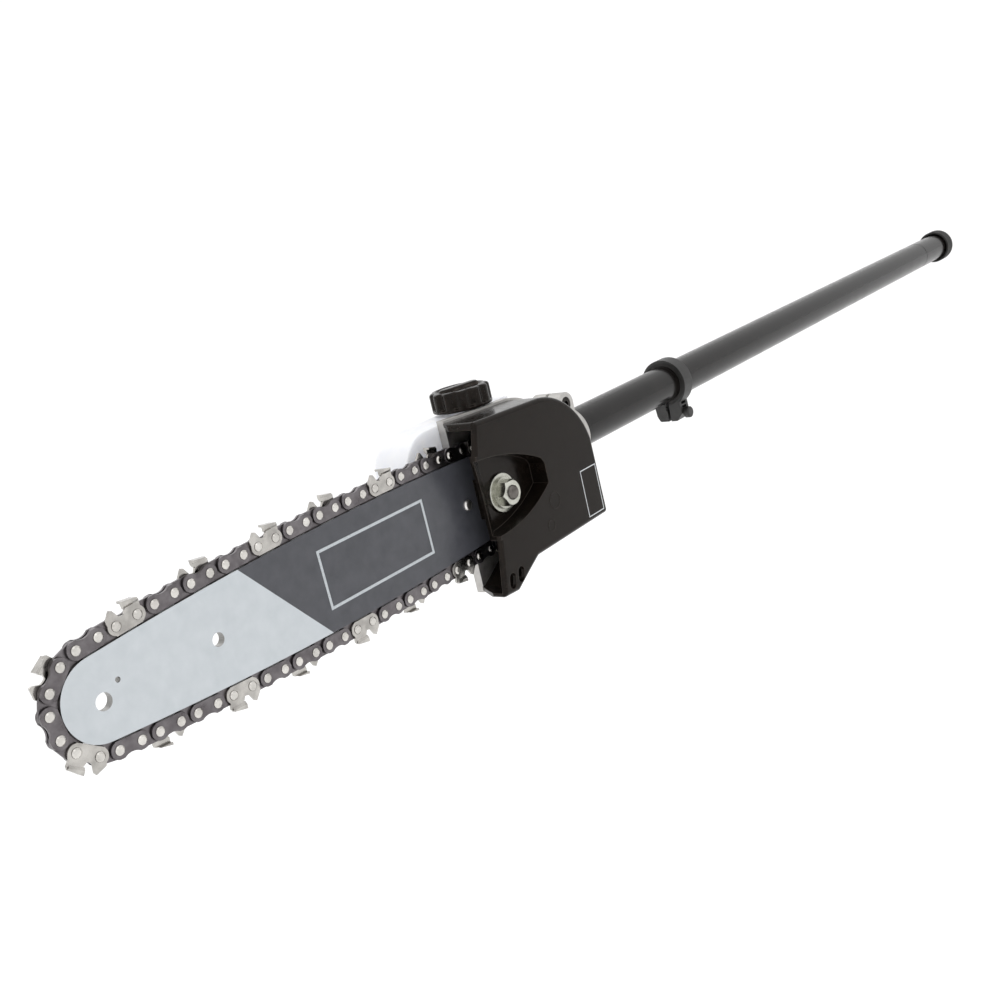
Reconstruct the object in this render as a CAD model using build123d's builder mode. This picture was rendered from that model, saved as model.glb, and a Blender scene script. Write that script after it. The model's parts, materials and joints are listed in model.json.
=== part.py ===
from build123d import *
from math import asin, atan2, cos, degrees, hypot, pi, radians, sin, sqrt
import os

# A pole saw attachment: a saw head with bar and chain on the end of a long tube.
# Millimetres. +Z up, +X along the tube towards the end that plugs into the power unit,
# the chain cover faces -Y. The origin is on the tube axis at that end of the tube.

# ---------------------------------------------------------------- driving dimensions
# Tube and drive shaft
tube_r = 13.0
tube_wall = 1.5
socket_start = 34.0             # from the sprocket axis to the tube's inner end
tube_reach = 810.6              # from the sprocket axis to the tube's outer end
coupling_length = 70.0          # how far the tube goes into the power unit
depth_mark_width = 0.9
depth_mark_depth = 0.25
shaft_r = 4.0
shaft_square = 5.4              # across flats, at the power end
shaft_square_length = 18.0
shaft_recess = 8.0              # the shaft ends this far inside the tube
bushing_count = 3
bushing_length = 14.0

# Chain, 3/8 inch low profile
chain_pitch = 9.525             # mean distance between neighbouring rivets
drive_hole_spacing = 8.65
strap_hole_spacing = 2 * chain_pitch - drive_hole_spacing
drive_link_count = 36
rivet_r = 1.55
rivet_head_r = 2.15
rivet_head_height = 0.85
link_thickness = 1.25
link_gap = 0.06                 # air between neighbouring plates
link_half_height = 3.8
tang_depth = 10.0               # from the rivet line to the tip of the tang
cutter_height = 8.0             # from the rivet line to the top plate

# Guide bar
bar_thickness = 4.0
bar_gauge = 1.45                # width of the groove
bar_groove_depth = 6.5
nose_r = 22.5                   # radius of the rivet line round the nose
belly_r = 1850.0                # radius of the rivet line along the rails
belly_from_nose = 165.5         # from the nose centre to the widest place
tail_r = 25.0                   # radius of the rivet line round the tail's corners
tail_from_sprocket = 41.5       # from the sprocket axis back to those corners' centres
rail_below_rivets = 4.6
foot_lift = 0.7                 # of a plate's foot above the rail, for the turn round the nose
tail_half_height = 9.0          # of the bar's tail end
nose_hole_r = 3.7               # of the nose sprocket's rivet
grease_hole_r = 1.2
middle_hole_r = 3.1
bar_end_gap = 22.0              # from the sprocket axis to the bar's tail end
first_rivet_from_sprocket = 53.6
tension_travel = 4.0

# Sprocket and gear head
sprocket_teeth = 6
sprocket_r = 12.9
sprocket_width = 6.4
bar_offset = 30.0               # the bar's middle plane lies this far in front of the tube axis
gear_teeth = 15
pinion_teeth = 12
gear_module = 2.0
tooth_face = 6.0
gear_clearance = 0.25
output_shaft_r = 5.0
case_r = 26.0
case_wall = 5.0
case_depth = 18.0               # of the gear case behind the tube axis
lid_thickness = 6.0
socket_wall = 4.5
socket_reach = 92.0             # from the sprocket axis to the mouth of the tube socket
running = 0.05                  # radial clearance of a running fit
gap = 0.3                       # air between pieces that pass each other

# Side cover, measured from the bar's middle plane
cover_depth = 20.5
cover_wall = 2.2
split_depth = 4.0               # where the cover meets the gear housing
flange_thickness = 5.0
recess_floor_depth = 9.5
cover_edge_r = 2.6              # rounding of the cover's outer edge
bumper_slots = ((-48.4, -43.2), (-40.6, -42.4))     # x and z, from the sprocket axis
bumper_slot_length = 8.6
bumper_slot_width = 5.4

# Bar fastening
stud_r = 4.0
stud_from_sprocket = 29.0
nut_flats = 13.0
nut_height = 6.4
washer_r = 11.0
washer_thickness = 1.6
adjuster_from_sprocket = 49.5
adjuster_r = 3.0
screw_r = 2.5

# Oil tank and cap
tank_wall = 2.0
tank_depth = 26.0
cap_r = 17.0
cap_height = 11.2
cap_rib_height = 1.5
neck_r = 9.0
cap_from_sprocket = 12.0
cap_behind_bar = 18.5
tank_top = 43.5

# Tube clip and end cap
clip_from_sprocket = 220.0
clip_width = 11.0
clip_r = 17.3
cap_skirt_r = 16.0
cap_skirt_length = 12.0

# ---------------------------------------------------------------- derived places
sprocket_x = -tube_reach
bar_y = -bar_offset
tube_bore_r = tube_r - tube_wall
stud_x = sprocket_x - stud_from_sprocket
adjuster_x = sprocket_x - adjuster_from_sprocket
bar_front_y = bar_y - bar_thickness / 2
bar_back_y = bar_y + bar_thickness / 2
cover_face_y = bar_y - cover_depth
split_y = bar_y + split_depth
flange_back_y = split_y + flange_thickness
recess_floor_y = bar_y - recess_floor_depth
case_back_y = case_depth
strap_y = link_thickness / 2 + link_gap + link_thickness / 2
plate_outer_y = strap_y + link_thickness / 2
gear_r = gear_teeth * gear_module / 2
pinion_r = pinion_teeth * gear_module / 2
MID = (Align.CENTER, Align.CENTER, Align.CENTER)
FROM_BASE = (Align.CENTER, Align.CENTER, Align.MIN)


# ---------------------------------------------------------------- small helpers
def rod_x(radius, x0, x1, y, z, mode=Mode.ADD):
    """A cylinder along X from x0 to x1."""
    with Locations((x0, y, z)):
        Cylinder(radius, x1 - x0, rotation=(0, 90, 0), align=FROM_BASE, mode=mode)


def rod_y(radius, y0, y1, x, z, mode=Mode.ADD):
    """A cylinder along Y from y0 to y1."""
    with Locations((x, y0, z)):
        Cylinder(radius, y1 - y0, rotation=(-90, 0, 0), align=FROM_BASE, mode=mode)


def rod_z(radius, z0, z1, x, y, mode=Mode.ADD):
    """A cylinder along Z from z0 to z1."""
    with Locations((x, y, z0)):
        Cylinder(radius, z1 - z0, align=FROM_BASE, mode=mode)


def block(x0, x1, y0, y1, z0, z1, mode=Mode.ADD):
    """A box between two corners."""
    with Locations(((x0 + x1) / 2, (y0 + y1) / 2, (z0 + z1) / 2)):
        Box(x1 - x0, y1 - y0, z1 - z0, align=MID, mode=mode)


def facing_plane(y):
    """A drawing plane at y, seen from the cover side: X to the right, Z up."""
    return Plane.XZ.offset(-y)


def save(piece, name):
    """Label a finished piece and write it as its own STEP file."""
    piece.part.label = name
    export_step(piece.part, "parts/" + name + ".step")


os.makedirs("parts", exist_ok=True)


# ---------------------------------------------------------------- the chain's path
# The rivet line is a closed convex loop of arcs and two straight runs, symmetric about the
# bar's centreline: nose, belly, tail corner, straight run, sprocket. Only its upper half is
# worked out; the lower half is its mirror image.
sprocket_path_r = 18.0          # a first guess, which the loop corrects
for _ in range(20):
    half_link_angle = asin(drive_hole_spacing / 2 / sprocket_path_r)
    half_strap_angle = asin(strap_hole_spacing / 2 / sprocket_path_r)
    sprocket_path_r = sprocket_path_r * 2 * (half_link_angle + half_strap_angle) / (2 * pi / sprocket_teeth)


def upper_arcs(nose_x, inset=0.0):
    """The arcs of the upper half, nose first: centre x, centre z, radius, first and last angle."""
    belly_x = nose_x + belly_from_nose
    belly_z = -sqrt((belly_r - nose_r) ** 2 - belly_from_nose ** 2)
    tail_x = -tail_from_sprocket
    tail_z = belly_z + sqrt((belly_r - tail_r) ** 2 - (tail_x - belly_x) ** 2)
    nose_angle = atan2(-belly_z, nose_x - belly_x)
    tail_angle = atan2(tail_z - belly_z, tail_x - belly_x)
    reach = hypot(tail_x, tail_z)
    run_angle = atan2(-tail_z, -tail_x) + pi / 2 - asin((tail_r - sprocket_path_r) / reach)
    return [
        (nose_x, 0.0, nose_r - inset, pi, nose_angle),
        (belly_x, belly_z, belly_r - inset, nose_angle, tail_angle),
        (tail_x, tail_z, tail_r - inset, tail_angle, run_angle),
        (0.0, 0.0, sprocket_path_r - inset, run_angle, 0.0),
    ]


def on_arc(arc, angle):
    """The point of an arc at an angle."""
    return (arc[0] + arc[2] * cos(angle), arc[1] + arc[2] * sin(angle))


def path_pieces(nose_x):
    """The whole loop as arcs and runs in order, from the nose tip over the top and back."""
    nose, belly, tail, drive = upper_arcs(nose_x)
    run = (on_arc(tail, tail[4]), on_arc(drive, drive[3]))
    upper = [("arc", nose), ("arc", belly), ("arc", tail), ("run", run), ("arc", drive)]
    lower = []
    for kind, piece in reversed(upper):
        if kind == "arc":
            lower.append(("arc", (piece[0], -piece[1], piece[2], -piece[4], -piece[3])))
        else:
            lower.append(("run", ((piece[1][0], -piece[1][1]), (piece[0][0], -piece[0][1]))))
    return upper + lower


def piece_length(kind, piece):
    """Length of one arc or run."""
    if kind == "arc":
        return piece[2] * abs(piece[4] - piece[3])
    return hypot(piece[1][0] - piece[0][0], piece[1][1] - piece[0][1])


def path_point(pieces, distance):
    """The point at a distance along the loop from the nose tip."""
    distance = distance % sum(piece_length(*p) for p in pieces)
    for kind, piece in pieces:
        length = piece_length(kind, piece)
        if distance <= length:
            share = distance / length
            if kind == "arc":
                return on_arc(piece, piece[3] + share * (piece[4] - piece[3]))
            a, b = piece
            return (a[0] + share * (b[0] - a[0]), a[1] + share * (b[1] - a[1]))
        distance -= length
    return on_arc(pieces[0][1], pi)


def step_back(pieces, distance, chord):
    """The distance along the loop of the next rivet, one chord nearer to the nose."""
    here = path_point(pieces, distance)
    step = chord
    for _ in range(6):
        there = path_point(pieces, distance - step)
        step = step * chord / hypot(there[0] - here[0], there[1] - here[1])
    return distance - step


def rivet_line(nose_x):
    """Distances of all rivets along the loop, starting at the first one above the bar."""
    pieces = path_pieces(nose_x)
    low = 0.0
    high = sum(piece_length(*p) for p in pieces) / 2
    for _ in range(40):
        middle = (low + high) / 2
        if path_point(pieces, middle)[0] < -first_rivet_from_sprocket:
            low = middle
        else:
            high = middle
    rivets = [middle]
    for k in range(2 * drive_link_count):
        chord = drive_hole_spacing if k % 2 == 0 else strap_hole_spacing
        rivets.append(step_back(pieces, rivets[-1], chord))
    return pieces, rivets


# The bar is pushed out until the chain just closes on itself.
near_nose = -drive_link_count * chain_pitch + 100
far_nose = near_nose - 60
for _ in range(40):
    nose_x = (near_nose + far_nose) / 2
    chain_pieces, chain_rivets = rivet_line(nose_x)
    loop_length = sum(piece_length(*p) for p in chain_pieces)
    if chain_rivets[0] - chain_rivets[-1] > loop_length:
        near_nose = nose_x
    else:
        far_nose = nose_x
rivet_points = [path_point(chain_pieces, d) for d in chain_rivets[:-1]]
bar_tip_x = sprocket_x + nose_x - nose_r + rail_below_rivets
print("bar tip at x", round(bar_tip_x, 2))


def link_plane(first):
    """The plane of the link from rivet number first to the next: X along the travel, Z outwards."""
    a = rivet_points[first % len(rivet_points)]
    b = rivet_points[(first + 1) % len(rivet_points)]
    along = ((b[0] - a[0]), (b[1] - a[1]))
    return Plane(
        origin=(sprocket_x + (a[0] + b[0]) / 2, bar_y, (a[1] + b[1]) / 2),
        x_dir=(along[0], 0, along[1]),
        z_dir=(along[1], 0, -along[0]),
    )


def at_drive_end(first):
    """True for a link that runs on the sprocket or between it and the bar."""
    a = rivet_points[first % len(rivet_points)]
    b = rivet_points[(first + 1) % len(rivet_points)]
    return max(a[0], b[0]) > -tail_from_sprocket + 6.0


# ---------------------------------------------------------------- chain
# Each link lies in its own frame: X along the travel, Y towards the cover, Z outwards.
def plate_profile(spacing):
    """The side view of a plate: two round ends, a flat foot that runs on the rail, two holes."""
    SlotCenterToCenter(spacing, 2 * link_half_height)
    foot = rail_below_rivets - foot_lift
    with Locations((0, -foot / 2)):
        Rectangle(spacing + 2.4, foot)
    with Locations((0, link_half_height + 5.2)):
        Circle(6.4, mode=Mode.SUBTRACT)


def plate_holes(spacing):
    """The two rivet holes of a plate."""
    with Locations((-spacing / 2, 0), (spacing / 2, 0)):
        Circle(rivet_r + running, mode=Mode.SUBTRACT)


with BuildPart() as drive_link:
    with BuildSketch(Plane.XZ):
        SlotCenterToCenter(drive_hole_spacing, 2 * link_half_height)
        Polygon(
            (-5.2, 0), (-4.6, -5.6), (-1.6, -tang_depth), (1.4, -tang_depth), (4.8, -5.2), (5.2, 0),
            align=None,
        )
        plate_holes(drive_hole_spacing)
    extrude(amount=link_thickness / 2, both=True)

with BuildPart() as near_strap:
    with BuildSketch(Plane.XZ.offset(-strap_y)):
        plate_profile(strap_hole_spacing)
        plate_holes(strap_hole_spacing)
    extrude(amount=link_thickness / 2, both=True)

with BuildPart() as near_cutter:
    with BuildSketch(Plane.XZ.offset(-strap_y)):
        plate_profile(strap_hole_spacing)
        Polygon(
            (-7.6, 1.0), (-8.0, cutter_height - 2.4), (-7.0, cutter_height - 1.2),
            (-0.3, cutter_height - 0.3), (-1.0, 4.8), (0.2, 2.6), (2.4, 2.5),
            (4.6, cutter_height - 1.5), (5.7, cutter_height - 1.0), (8.9, 3.0), (8.4, 0.0), (-7.6, 0.0),
            align=None,
        )
        plate_holes(strap_hole_spacing)
    extrude(amount=link_thickness / 2, both=True)
    with BuildSketch(Plane.YZ.offset(-0.3)):
        Polygon(
            (plate_outer_y + 0.9, cutter_height - 2.0), (plate_outer_y + 0.9, cutter_height),
            (-1.2, cutter_height), (-1.2, cutter_height - 1.1),
            (plate_outer_y - link_thickness, cutter_height - 1.1),
            (plate_outer_y - link_thickness, cutter_height - 3.2),
            (plate_outer_y, cutter_height - 3.2),
            align=None,
        )
    extrude(amount=-7.0)
    with BuildSketch(Plane.XZ.offset(10)):
        Polygon(
            (-8.4, cutter_height - 1.5), (-8.4, cutter_height + 1), (1, cutter_height + 1),
            (1, cutter_height), (-0.3, cutter_height), align=None,
        )
    extrude(amount=-20, mode=Mode.SUBTRACT)

with BuildPart() as rivet:
    with BuildSketch(Plane.XY):
        head_top = plate_outer_y + rivet_head_height
        Polygon(
            (0, 0), (rivet_r, 0), (rivet_r, plate_outer_y + 0.02), (rivet_head_r, plate_outer_y + 0.02),
            (rivet_head_r, plate_outer_y + 0.3), (rivet_head_r - 0.75, head_top), (0, head_top),
            align=None,
        )
    revolve(axis=Axis.Y)
    mirror(about=Plane.XZ)

far_strap = mirror(near_strap.part, about=Plane.XZ)
far_cutter = mirror(near_cutter.part, about=Plane.XZ)


def chain_node(name, shape, link_numbers):
    """One node holding a copy of a link at each of the given places along the chain."""
    with BuildPart() as node:
        with Locations([link_plane(first).location for first in link_numbers]):
            add(shape)
    save(node, name)


drive_numbers = range(0, 2 * drive_link_count, 2)
plate_numbers = range(1, 2 * drive_link_count, 2)
near_cutter_numbers = [n for n in plate_numbers if n % 8 == 5]
far_cutter_numbers = [n for n in plate_numbers if n % 8 == 1]
near_strap_numbers = [n for n in plate_numbers if n % 8 != 5]
far_strap_numbers = [n for n in plate_numbers if n % 8 != 1]

for place, wanted in (("", False), ("_at_sprocket", True)):
    chosen = {
        "drive_links": (drive_link.part, drive_numbers),
        "near_tie_straps": (near_strap.part, near_strap_numbers),
        "far_tie_straps": (far_strap, far_strap_numbers),
        "near_cutters": (near_cutter.part, near_cutter_numbers),
        "far_cutters": (far_cutter, far_cutter_numbers),
    }
    for name, (shape, numbers) in chosen.items():
        kept = [n for n in numbers if at_drive_end(n) == wanted]
        if kept:
            chain_node("chain_" + name + place, shape, kept)

    with BuildPart() as rivets:
        spots = [
            (sprocket_x + p[0], bar_y, p[1])
            for k, p in enumerate(rivet_points)
            if (at_drive_end(k) or at_drive_end(k - 1)) == wanted
        ]
        with Locations(spots):
            add(rivet.part)
    save(rivets, "chain_rivets" + place)

# ---------------------------------------------------------------- guide bar
with BuildPart() as guide_bar:
    with BuildSketch(facing_plane(bar_y)) as bar_outline:
        nose, belly, tail, _ = upper_arcs(nose_x, rail_below_rivets)
        tail_end_angle = asin(tail_half_height / tail[2])
        tail_end = on_arc(tail, tail_end_angle)
        with BuildLine():
            for arc, stop in ((nose, nose[4]), (belly, belly[4]), (tail, tail_end_angle)):
                CenterArc(
                    (sprocket_x + arc[0], arc[1]), arc[2], degrees(arc[3]), degrees(stop - arc[3])
                )
            Line(
                (sprocket_x + tail_end[0], tail_end[1]),
                (sprocket_x - bar_end_gap, tail_end[1] - 3.0),
            )
            Line((sprocket_x - bar_end_gap, tail_end[1] - 3.0), (sprocket_x - bar_end_gap, 0))
            mirror(about=Plane.XZ)
        make_face()
    extrude(amount=bar_thickness / 2, both=True)
    with BuildSketch(facing_plane(bar_y)):
        add(bar_outline.sketch)
        offset(bar_outline.sketch, amount=-bar_groove_depth, mode=Mode.SUBTRACT)
    extrude(amount=bar_gauge / 2, both=True, mode=Mode.SUBTRACT)
    slot_front = stud_x - stud_r - tension_travel - 1.5
    block(slot_front, sprocket_x, bar_y - 5, bar_y + 5, -stud_r - 0.15, stud_r + 0.15, Mode.SUBTRACT)
    for x, z, radius in (
        (sprocket_x + nose_x, -1.5, nose_hole_r),
        (sprocket_x + nose_x + 8.3, 4.0, grease_hole_r),
        (sprocket_x + nose_x + 57.5, -1.0, middle_hole_r),
        (adjuster_x, 0, adjuster_r + running),
    ):
        rod_y(radius, bar_y - 5, bar_y + 5, x, z, Mode.SUBTRACT)
save(guide_bar, "guide_bar")

# ---------------------------------------------------------------- chain tensioner
screw_y = split_y + 8.0
slot_half = 4.0 + tension_travel + gap
boss_front = adjuster_x - 13.0
boss_back = adjuster_x + 12.0

with BuildPart() as adjuster_block:
    rod_y(adjuster_r, bar_front_y - 1.6, split_y + 1, adjuster_x, 0)
    fillet(faces().sort_by(Axis.Y)[0].edges(), radius=1.3)
    block(adjuster_x - 4, adjuster_x + 4, split_y + 0.3, screw_y + 4, -4, 4)
    rod_x(screw_r + running, adjuster_x - 5, adjuster_x + 5, screw_y, 0, Mode.SUBTRACT)
save(adjuster_block, "chain_adjuster_block")

with BuildPart() as tension_screw:
    rod_x(screw_r, boss_front - 0.5, boss_back - 1, screw_y, 0)
    rod_x(4.2, boss_front - 4.0, boss_front - 0.3, screw_y, 0)
    block(boss_front - 5, boss_front - 2.4, screw_y - 5, screw_y + 5, -0.5, 0.5, Mode.SUBTRACT)
save(tension_screw, "chain_tension_screw")


# ---------------------------------------------------------------- side cover
def head_outline():
    """The outline of the saw head seen from the cover side, with the bumper at its foot."""
    x = sprocket_x
    with BuildLine() as edge:
        Polyline(
            (x + 7, 42.2), (x - 50, 44.8), (x - 56.5, 25.0), (x - 51.5, 2.0), (x - 51.0, -19.0),
            (x - 57.3, -49.6), (x - 44, -50.4), (x - 31, -43.4), (x - 22, -38.8), (x + 48.3, -38.0),
            (x + 47.2, 8.0),
        )
        ThreePointArc((x + 47.2, 8.0), (x + 35.5, 29.2), (x + 7, 42.2))
    make_face(edge.edges())


def recess_outline():
    """The shield-shaped recess round the bar nut, open towards the front."""
    x = sprocket_x
    with BuildLine() as edge:
        ThreePointArc((x - 62, 25.4), (x - 31.0, 21.8), (x - 3.2, 11.2))
        Polyline((x - 3.2, 11.2), (x - 0.8, 7.4), (x - 0.8, -3.8))
        ThreePointArc((x - 0.8, -3.8), (x - 22.0, -13.6), (x - 62, -16.2))
        Line((x - 62, -16.2), (x - 62, 25.4))
    make_face(edge.edges())


def recess_depth_profile(lift):
    """How deep the recess is along X: flat round the nut, rising to the front edge."""
    Polygon(
        (sprocket_x - 70, cover_face_y - 30), (sprocket_x - 70, cover_face_y + 1 + lift),
        (sprocket_x - 56.5, cover_face_y + 1 + lift), (stud_x - 13, recess_floor_y + lift),
        (sprocket_x + 6, recess_floor_y + lift), (sprocket_x + 6, cover_face_y - 30),
        align=None,
    )


with BuildPart() as recess_body:
    with BuildSketch(facing_plane(cover_face_y)):
        recess_outline()
        offset(amount=cover_wall)
    extrude(amount=-cover_depth)
    with BuildSketch(Plane.XY.offset(-60)):
        recess_depth_profile(cover_wall)
    extrude(amount=120, mode=Mode.INTERSECT)
    with BuildSketch(facing_plane(cover_face_y)):
        head_outline()
        offset(amount=-0.8)
    extrude(amount=-cover_depth, mode=Mode.INTERSECT)

with BuildPart() as recess_cut:
    with BuildSketch(facing_plane(cover_face_y - 1)):
        recess_outline()
    extrude(amount=-cover_depth)
    with BuildSketch(Plane.XY.offset(-60)):
        recess_depth_profile(0)
    extrude(amount=120, mode=Mode.INTERSECT)

with BuildPart() as side_cover:
    with BuildSketch(facing_plane(cover_face_y)):
        head_outline()
        fillet(vertices(), radius=1.8)
    extrude(amount=-(split_y - cover_face_y))
    fillet(faces().sort_by(Axis.Y)[0].outer_wire().edges(), radius=cover_edge_r)
    with BuildSketch(facing_plane(cover_face_y + cover_wall)):
        head_outline()
        offset(amount=-cover_wall)
        with Locations((sprocket_x - 55, -3.1)):
            Rectangle(20, 88.2)
    extrude(amount=-cover_depth - 10, mode=Mode.SUBTRACT)
    add(recess_body.part)
    add(recess_cut.part, mode=Mode.SUBTRACT)
    # The mouth is raked: the outer face reaches further forward than the inner edge.
    with BuildSketch(Plane.XY.offset(-60)):
        Polygon(
            (sprocket_x - 61.5, cover_face_y + 1.5), (sprocket_x - 46, split_y + 1),
            (sprocket_x - 80, split_y + 1), (sprocket_x - 80, cover_face_y + 1.5), align=None,
        )
    extrude(amount=120, mode=Mode.SUBTRACT)
    # The pad that presses on the bar, and the hole for the stud.
    block(stud_x - 12, stud_x + 6, recess_floor_y + 1, bar_front_y, -washer_r, washer_r)
    rod_y(stud_r + gap, cover_face_y - 1, bar_y, stud_x, 0, Mode.SUBTRACT)
    # Two drain slots in the bumper.
    for x, z in bumper_slots:
        with BuildSketch(facing_plane(cover_face_y - 1)):
            with Locations((sprocket_x + x, z)):
                SlotOverall(bumper_slot_length, bumper_slot_width, rotation=75)
        extrude(amount=-cover_wall - 3, mode=Mode.SUBTRACT)
save(side_cover, "side_cover")

# ---------------------------------------------------------------- bar stud, washer and nut
washer_y = recess_floor_y - washer_thickness
nut_y = washer_y - nut_height

with BuildPart() as bar_stud:
    rod_y(stud_r, nut_y - 1.6, flange_back_y + 3, stud_x, 0)
    rod_y(stud_r + 2, flange_back_y - 3, flange_back_y + 1, stud_x, 0)
    chamfer(faces().sort_by(Axis.Y)[0].edges(), length=0.7)
save(bar_stud, "bar_stud")

with BuildPart() as bar_washer:
    rod_y(washer_r, washer_y, recess_floor_y, stud_x, 0)
    fillet(faces().sort_by(Axis.Y)[0].outer_wire().edges(), radius=0.6)
    rod_y(stud_r + 0.2, washer_y - 1, recess_floor_y + 1, stud_x, 0, Mode.SUBTRACT)
save(bar_washer, "bar_washer")

with BuildPart() as bar_nut:
    with BuildSketch(facing_plane(nut_y)):
        with Locations((stud_x, 0)):
            RegularPolygon(nut_flats / 2, 6, major_radius=False)
    extrude(amount=-nut_height)
    with BuildSketch(Plane.XY):
        with Locations((stud_x, nut_y)):
            Polygon((0, 0), (6.6, 0), (7.7, 1.1), (7.7, nut_height - 1.6), (8.6, nut_height - 1.2),
                    (8.6, nut_height), (0, nut_height), align=None)
    revolve(axis=Axis((stud_x, 0, 0), (0, 1, 0)), mode=Mode.INTERSECT)
    rod_y(8.6, washer_y - 1.4, washer_y, stud_x, 0)
    rod_y(stud_r + running, nut_y - 1, washer_y + 1, stud_x, 0, Mode.SUBTRACT)
save(bar_nut, "bar_nut")

# ---------------------------------------------------------------- drive: bevel gears and sprocket
front_bearing = (output_shaft_r, 13.0, split_y + 1.5, split_y + 9.5)
rear_bearing = (output_shaft_r, 11.0, case_back_y - 4.0, case_back_y + 3.0)
pinion_bearing = (shaft_r, 12.0, sprocket_x + 21.0, sprocket_x + 28.0)


def bevel(teeth, pitch_r, other_r, back):
    """A bevel gear along +Z with its cone's tip at the origin: two tooth outlines, ruled."""
    cone = hypot(pitch_r, other_r)
    inner = (cone - tooth_face) / cone
    outer_r = pitch_r - gear_clearance
    root_r = outer_r - 0.9 * gear_module

    def outline(scale):
        corners = []
        for k in range(teeth):
            start = 2 * pi * k / teeth
            for share, radius in ((0.0, outer_r), (0.32, outer_r), (0.5, root_r), (0.82, root_r)):
                angle = start + share * 2 * pi / teeth
                corners.append((scale * radius * cos(angle), scale * radius * sin(angle)))
        Polygon(*corners, align=None)

    with BuildPart() as gear:
        with BuildSketch(Plane.XY.offset(other_r * inner + gear_clearance)):
            outline(inner)
        with BuildSketch(Plane.XY.offset(other_r + gear_clearance)):
            outline(1.0)
        loft(ruled=True)
        with BuildSketch(Plane.XY.offset(other_r + gear_clearance)):
            Circle(root_r)
        extrude(amount=back)
    return gear.part


gear_place = Plane(origin=(sprocket_x, 0, 0), x_dir=(1, 0, 0), z_dir=(0, -1, 0)).location
pinion_place = Plane(origin=(sprocket_x, 0, 0), x_dir=(0, 1, 0), z_dir=(1, 0, 0)).location

with BuildPart() as bevel_gear:
    with Locations(gear_place):
        add(bevel(gear_teeth, gear_r, pinion_r, 3.0))
    rod_y(output_shaft_r, -40, 0, sprocket_x, 0, Mode.SUBTRACT)
save(bevel_gear, "bevel_gear")

with BuildPart() as pinion_gear:
    with Locations(pinion_place):
        add(bevel(pinion_teeth, pinion_r, gear_r, 4.0))
    rod_x(shaft_r, sprocket_x, sprocket_x + 40, 0, 0, Mode.SUBTRACT)
save(pinion_gear, "pinion_gear")

with BuildPart() as output_shaft:
    rod_y(output_shaft_r, bar_y - sprocket_width / 2 - 2.6, rear_bearing[3], sprocket_x, 0)
    rod_y(output_shaft_r + 1, bar_y - sprocket_width / 2 - 1.8, bar_y - sprocket_width / 2 - 0.8,
          sprocket_x, 0, Mode.SUBTRACT)
    rod_y(output_shaft_r - 0.6, bar_y - sprocket_width / 2 - 2, bar_y - sprocket_width / 2 - 0.5,
          sprocket_x, 0)
save(output_shaft, "output_shaft")

# The sprocket's pockets sit where the chain's drive links are.
drive_centres = [link_plane(n).origin for n in drive_numbers if at_drive_end(n)]
nearest_link = max(drive_centres, key=lambda p: p.X)
pocket_angle = degrees(atan2(nearest_link.Z, nearest_link.X - sprocket_x))

with BuildPart() as sprocket:
    with BuildSketch(facing_plane(bar_y)):
        with Locations((sprocket_x, 0)):
            Circle(sprocket_r)
            Circle(output_shaft_r, mode=Mode.SUBTRACT)
            with PolarLocations(0, sprocket_teeth, start_angle=pocket_angle):
                Polygon((7.3, -2.3), (12.0, -5.4), (16.0, -6.4), (16.0, 6.4), (12.0, 5.4), (7.3, 2.3),
                        align=None, mode=Mode.SUBTRACT)
    extrude(amount=sprocket_width / 2, both=True)
save(sprocket, "drive_sprocket")

with BuildPart() as sprocket_clip:
    clip_y = bar_y - sprocket_width / 2 - 1.7
    rod_y(output_shaft_r + 2.2, clip_y, clip_y + 0.8, sprocket_x, 0)
    rod_y(output_shaft_r - 0.6, clip_y - 1, clip_y + 2, sprocket_x, 0, Mode.SUBTRACT)
    block(sprocket_x, sprocket_x + 9, clip_y - 1, clip_y + 2, -3.2, 3.2, Mode.SUBTRACT)
save(sprocket_clip, "sprocket_clip")


# ---------------------------------------------------------------- oil pump, driven by a worm
worm_y0 = 4.0
worm_y1 = 11.0
worm_r = 7.0
plunger_r = 3.4
plunger_x = sprocket_x - worm_r - plunger_r - gap
plunger_y = (worm_y0 + worm_y1) / 2
pump_r = 6.0
pump_top = -6.0
pump_bottom = -case_r - 1.0

with BuildPart() as pump_worm:
    rod_y(worm_r, worm_y0, worm_y1, sprocket_x, 0)
    for y in (worm_y0 + 1.6, worm_y0 + 3.5, worm_y0 + 5.4):
        with BuildSketch(Plane.XY):
            with Locations((sprocket_x + worm_r, y)):
                RegularPolygon(0.9, 4, rotation=45)
        revolve(axis=Axis((sprocket_x, 0, 0), (0, 1, 0)), mode=Mode.SUBTRACT)
    rod_y(output_shaft_r, worm_y0 - 1, worm_y1 + 1, sprocket_x, 0, Mode.SUBTRACT)
save(pump_worm, "pump_worm")

with BuildPart() as pump_plunger:
    rod_z(plunger_r, -4, 4, plunger_x, plunger_y)
    with Locations((plunger_x, plunger_y, 0)):
        with PolarLocations(plunger_r, 12):
            Box(0.9, 0.8, 9, mode=Mode.SUBTRACT)
    rod_z(2.5, pump_bottom + 5, -4, plunger_x, plunger_y)
save(pump_plunger, "pump_plunger")

with BuildPart() as pump_body:
    rod_z(pump_r, pump_bottom, pump_top, plunger_x, plunger_y)
    rod_z(2.5 + running, pump_bottom + 3, pump_top + 1, plunger_x, plunger_y, Mode.SUBTRACT)
save(pump_body, "pump_body")

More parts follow.
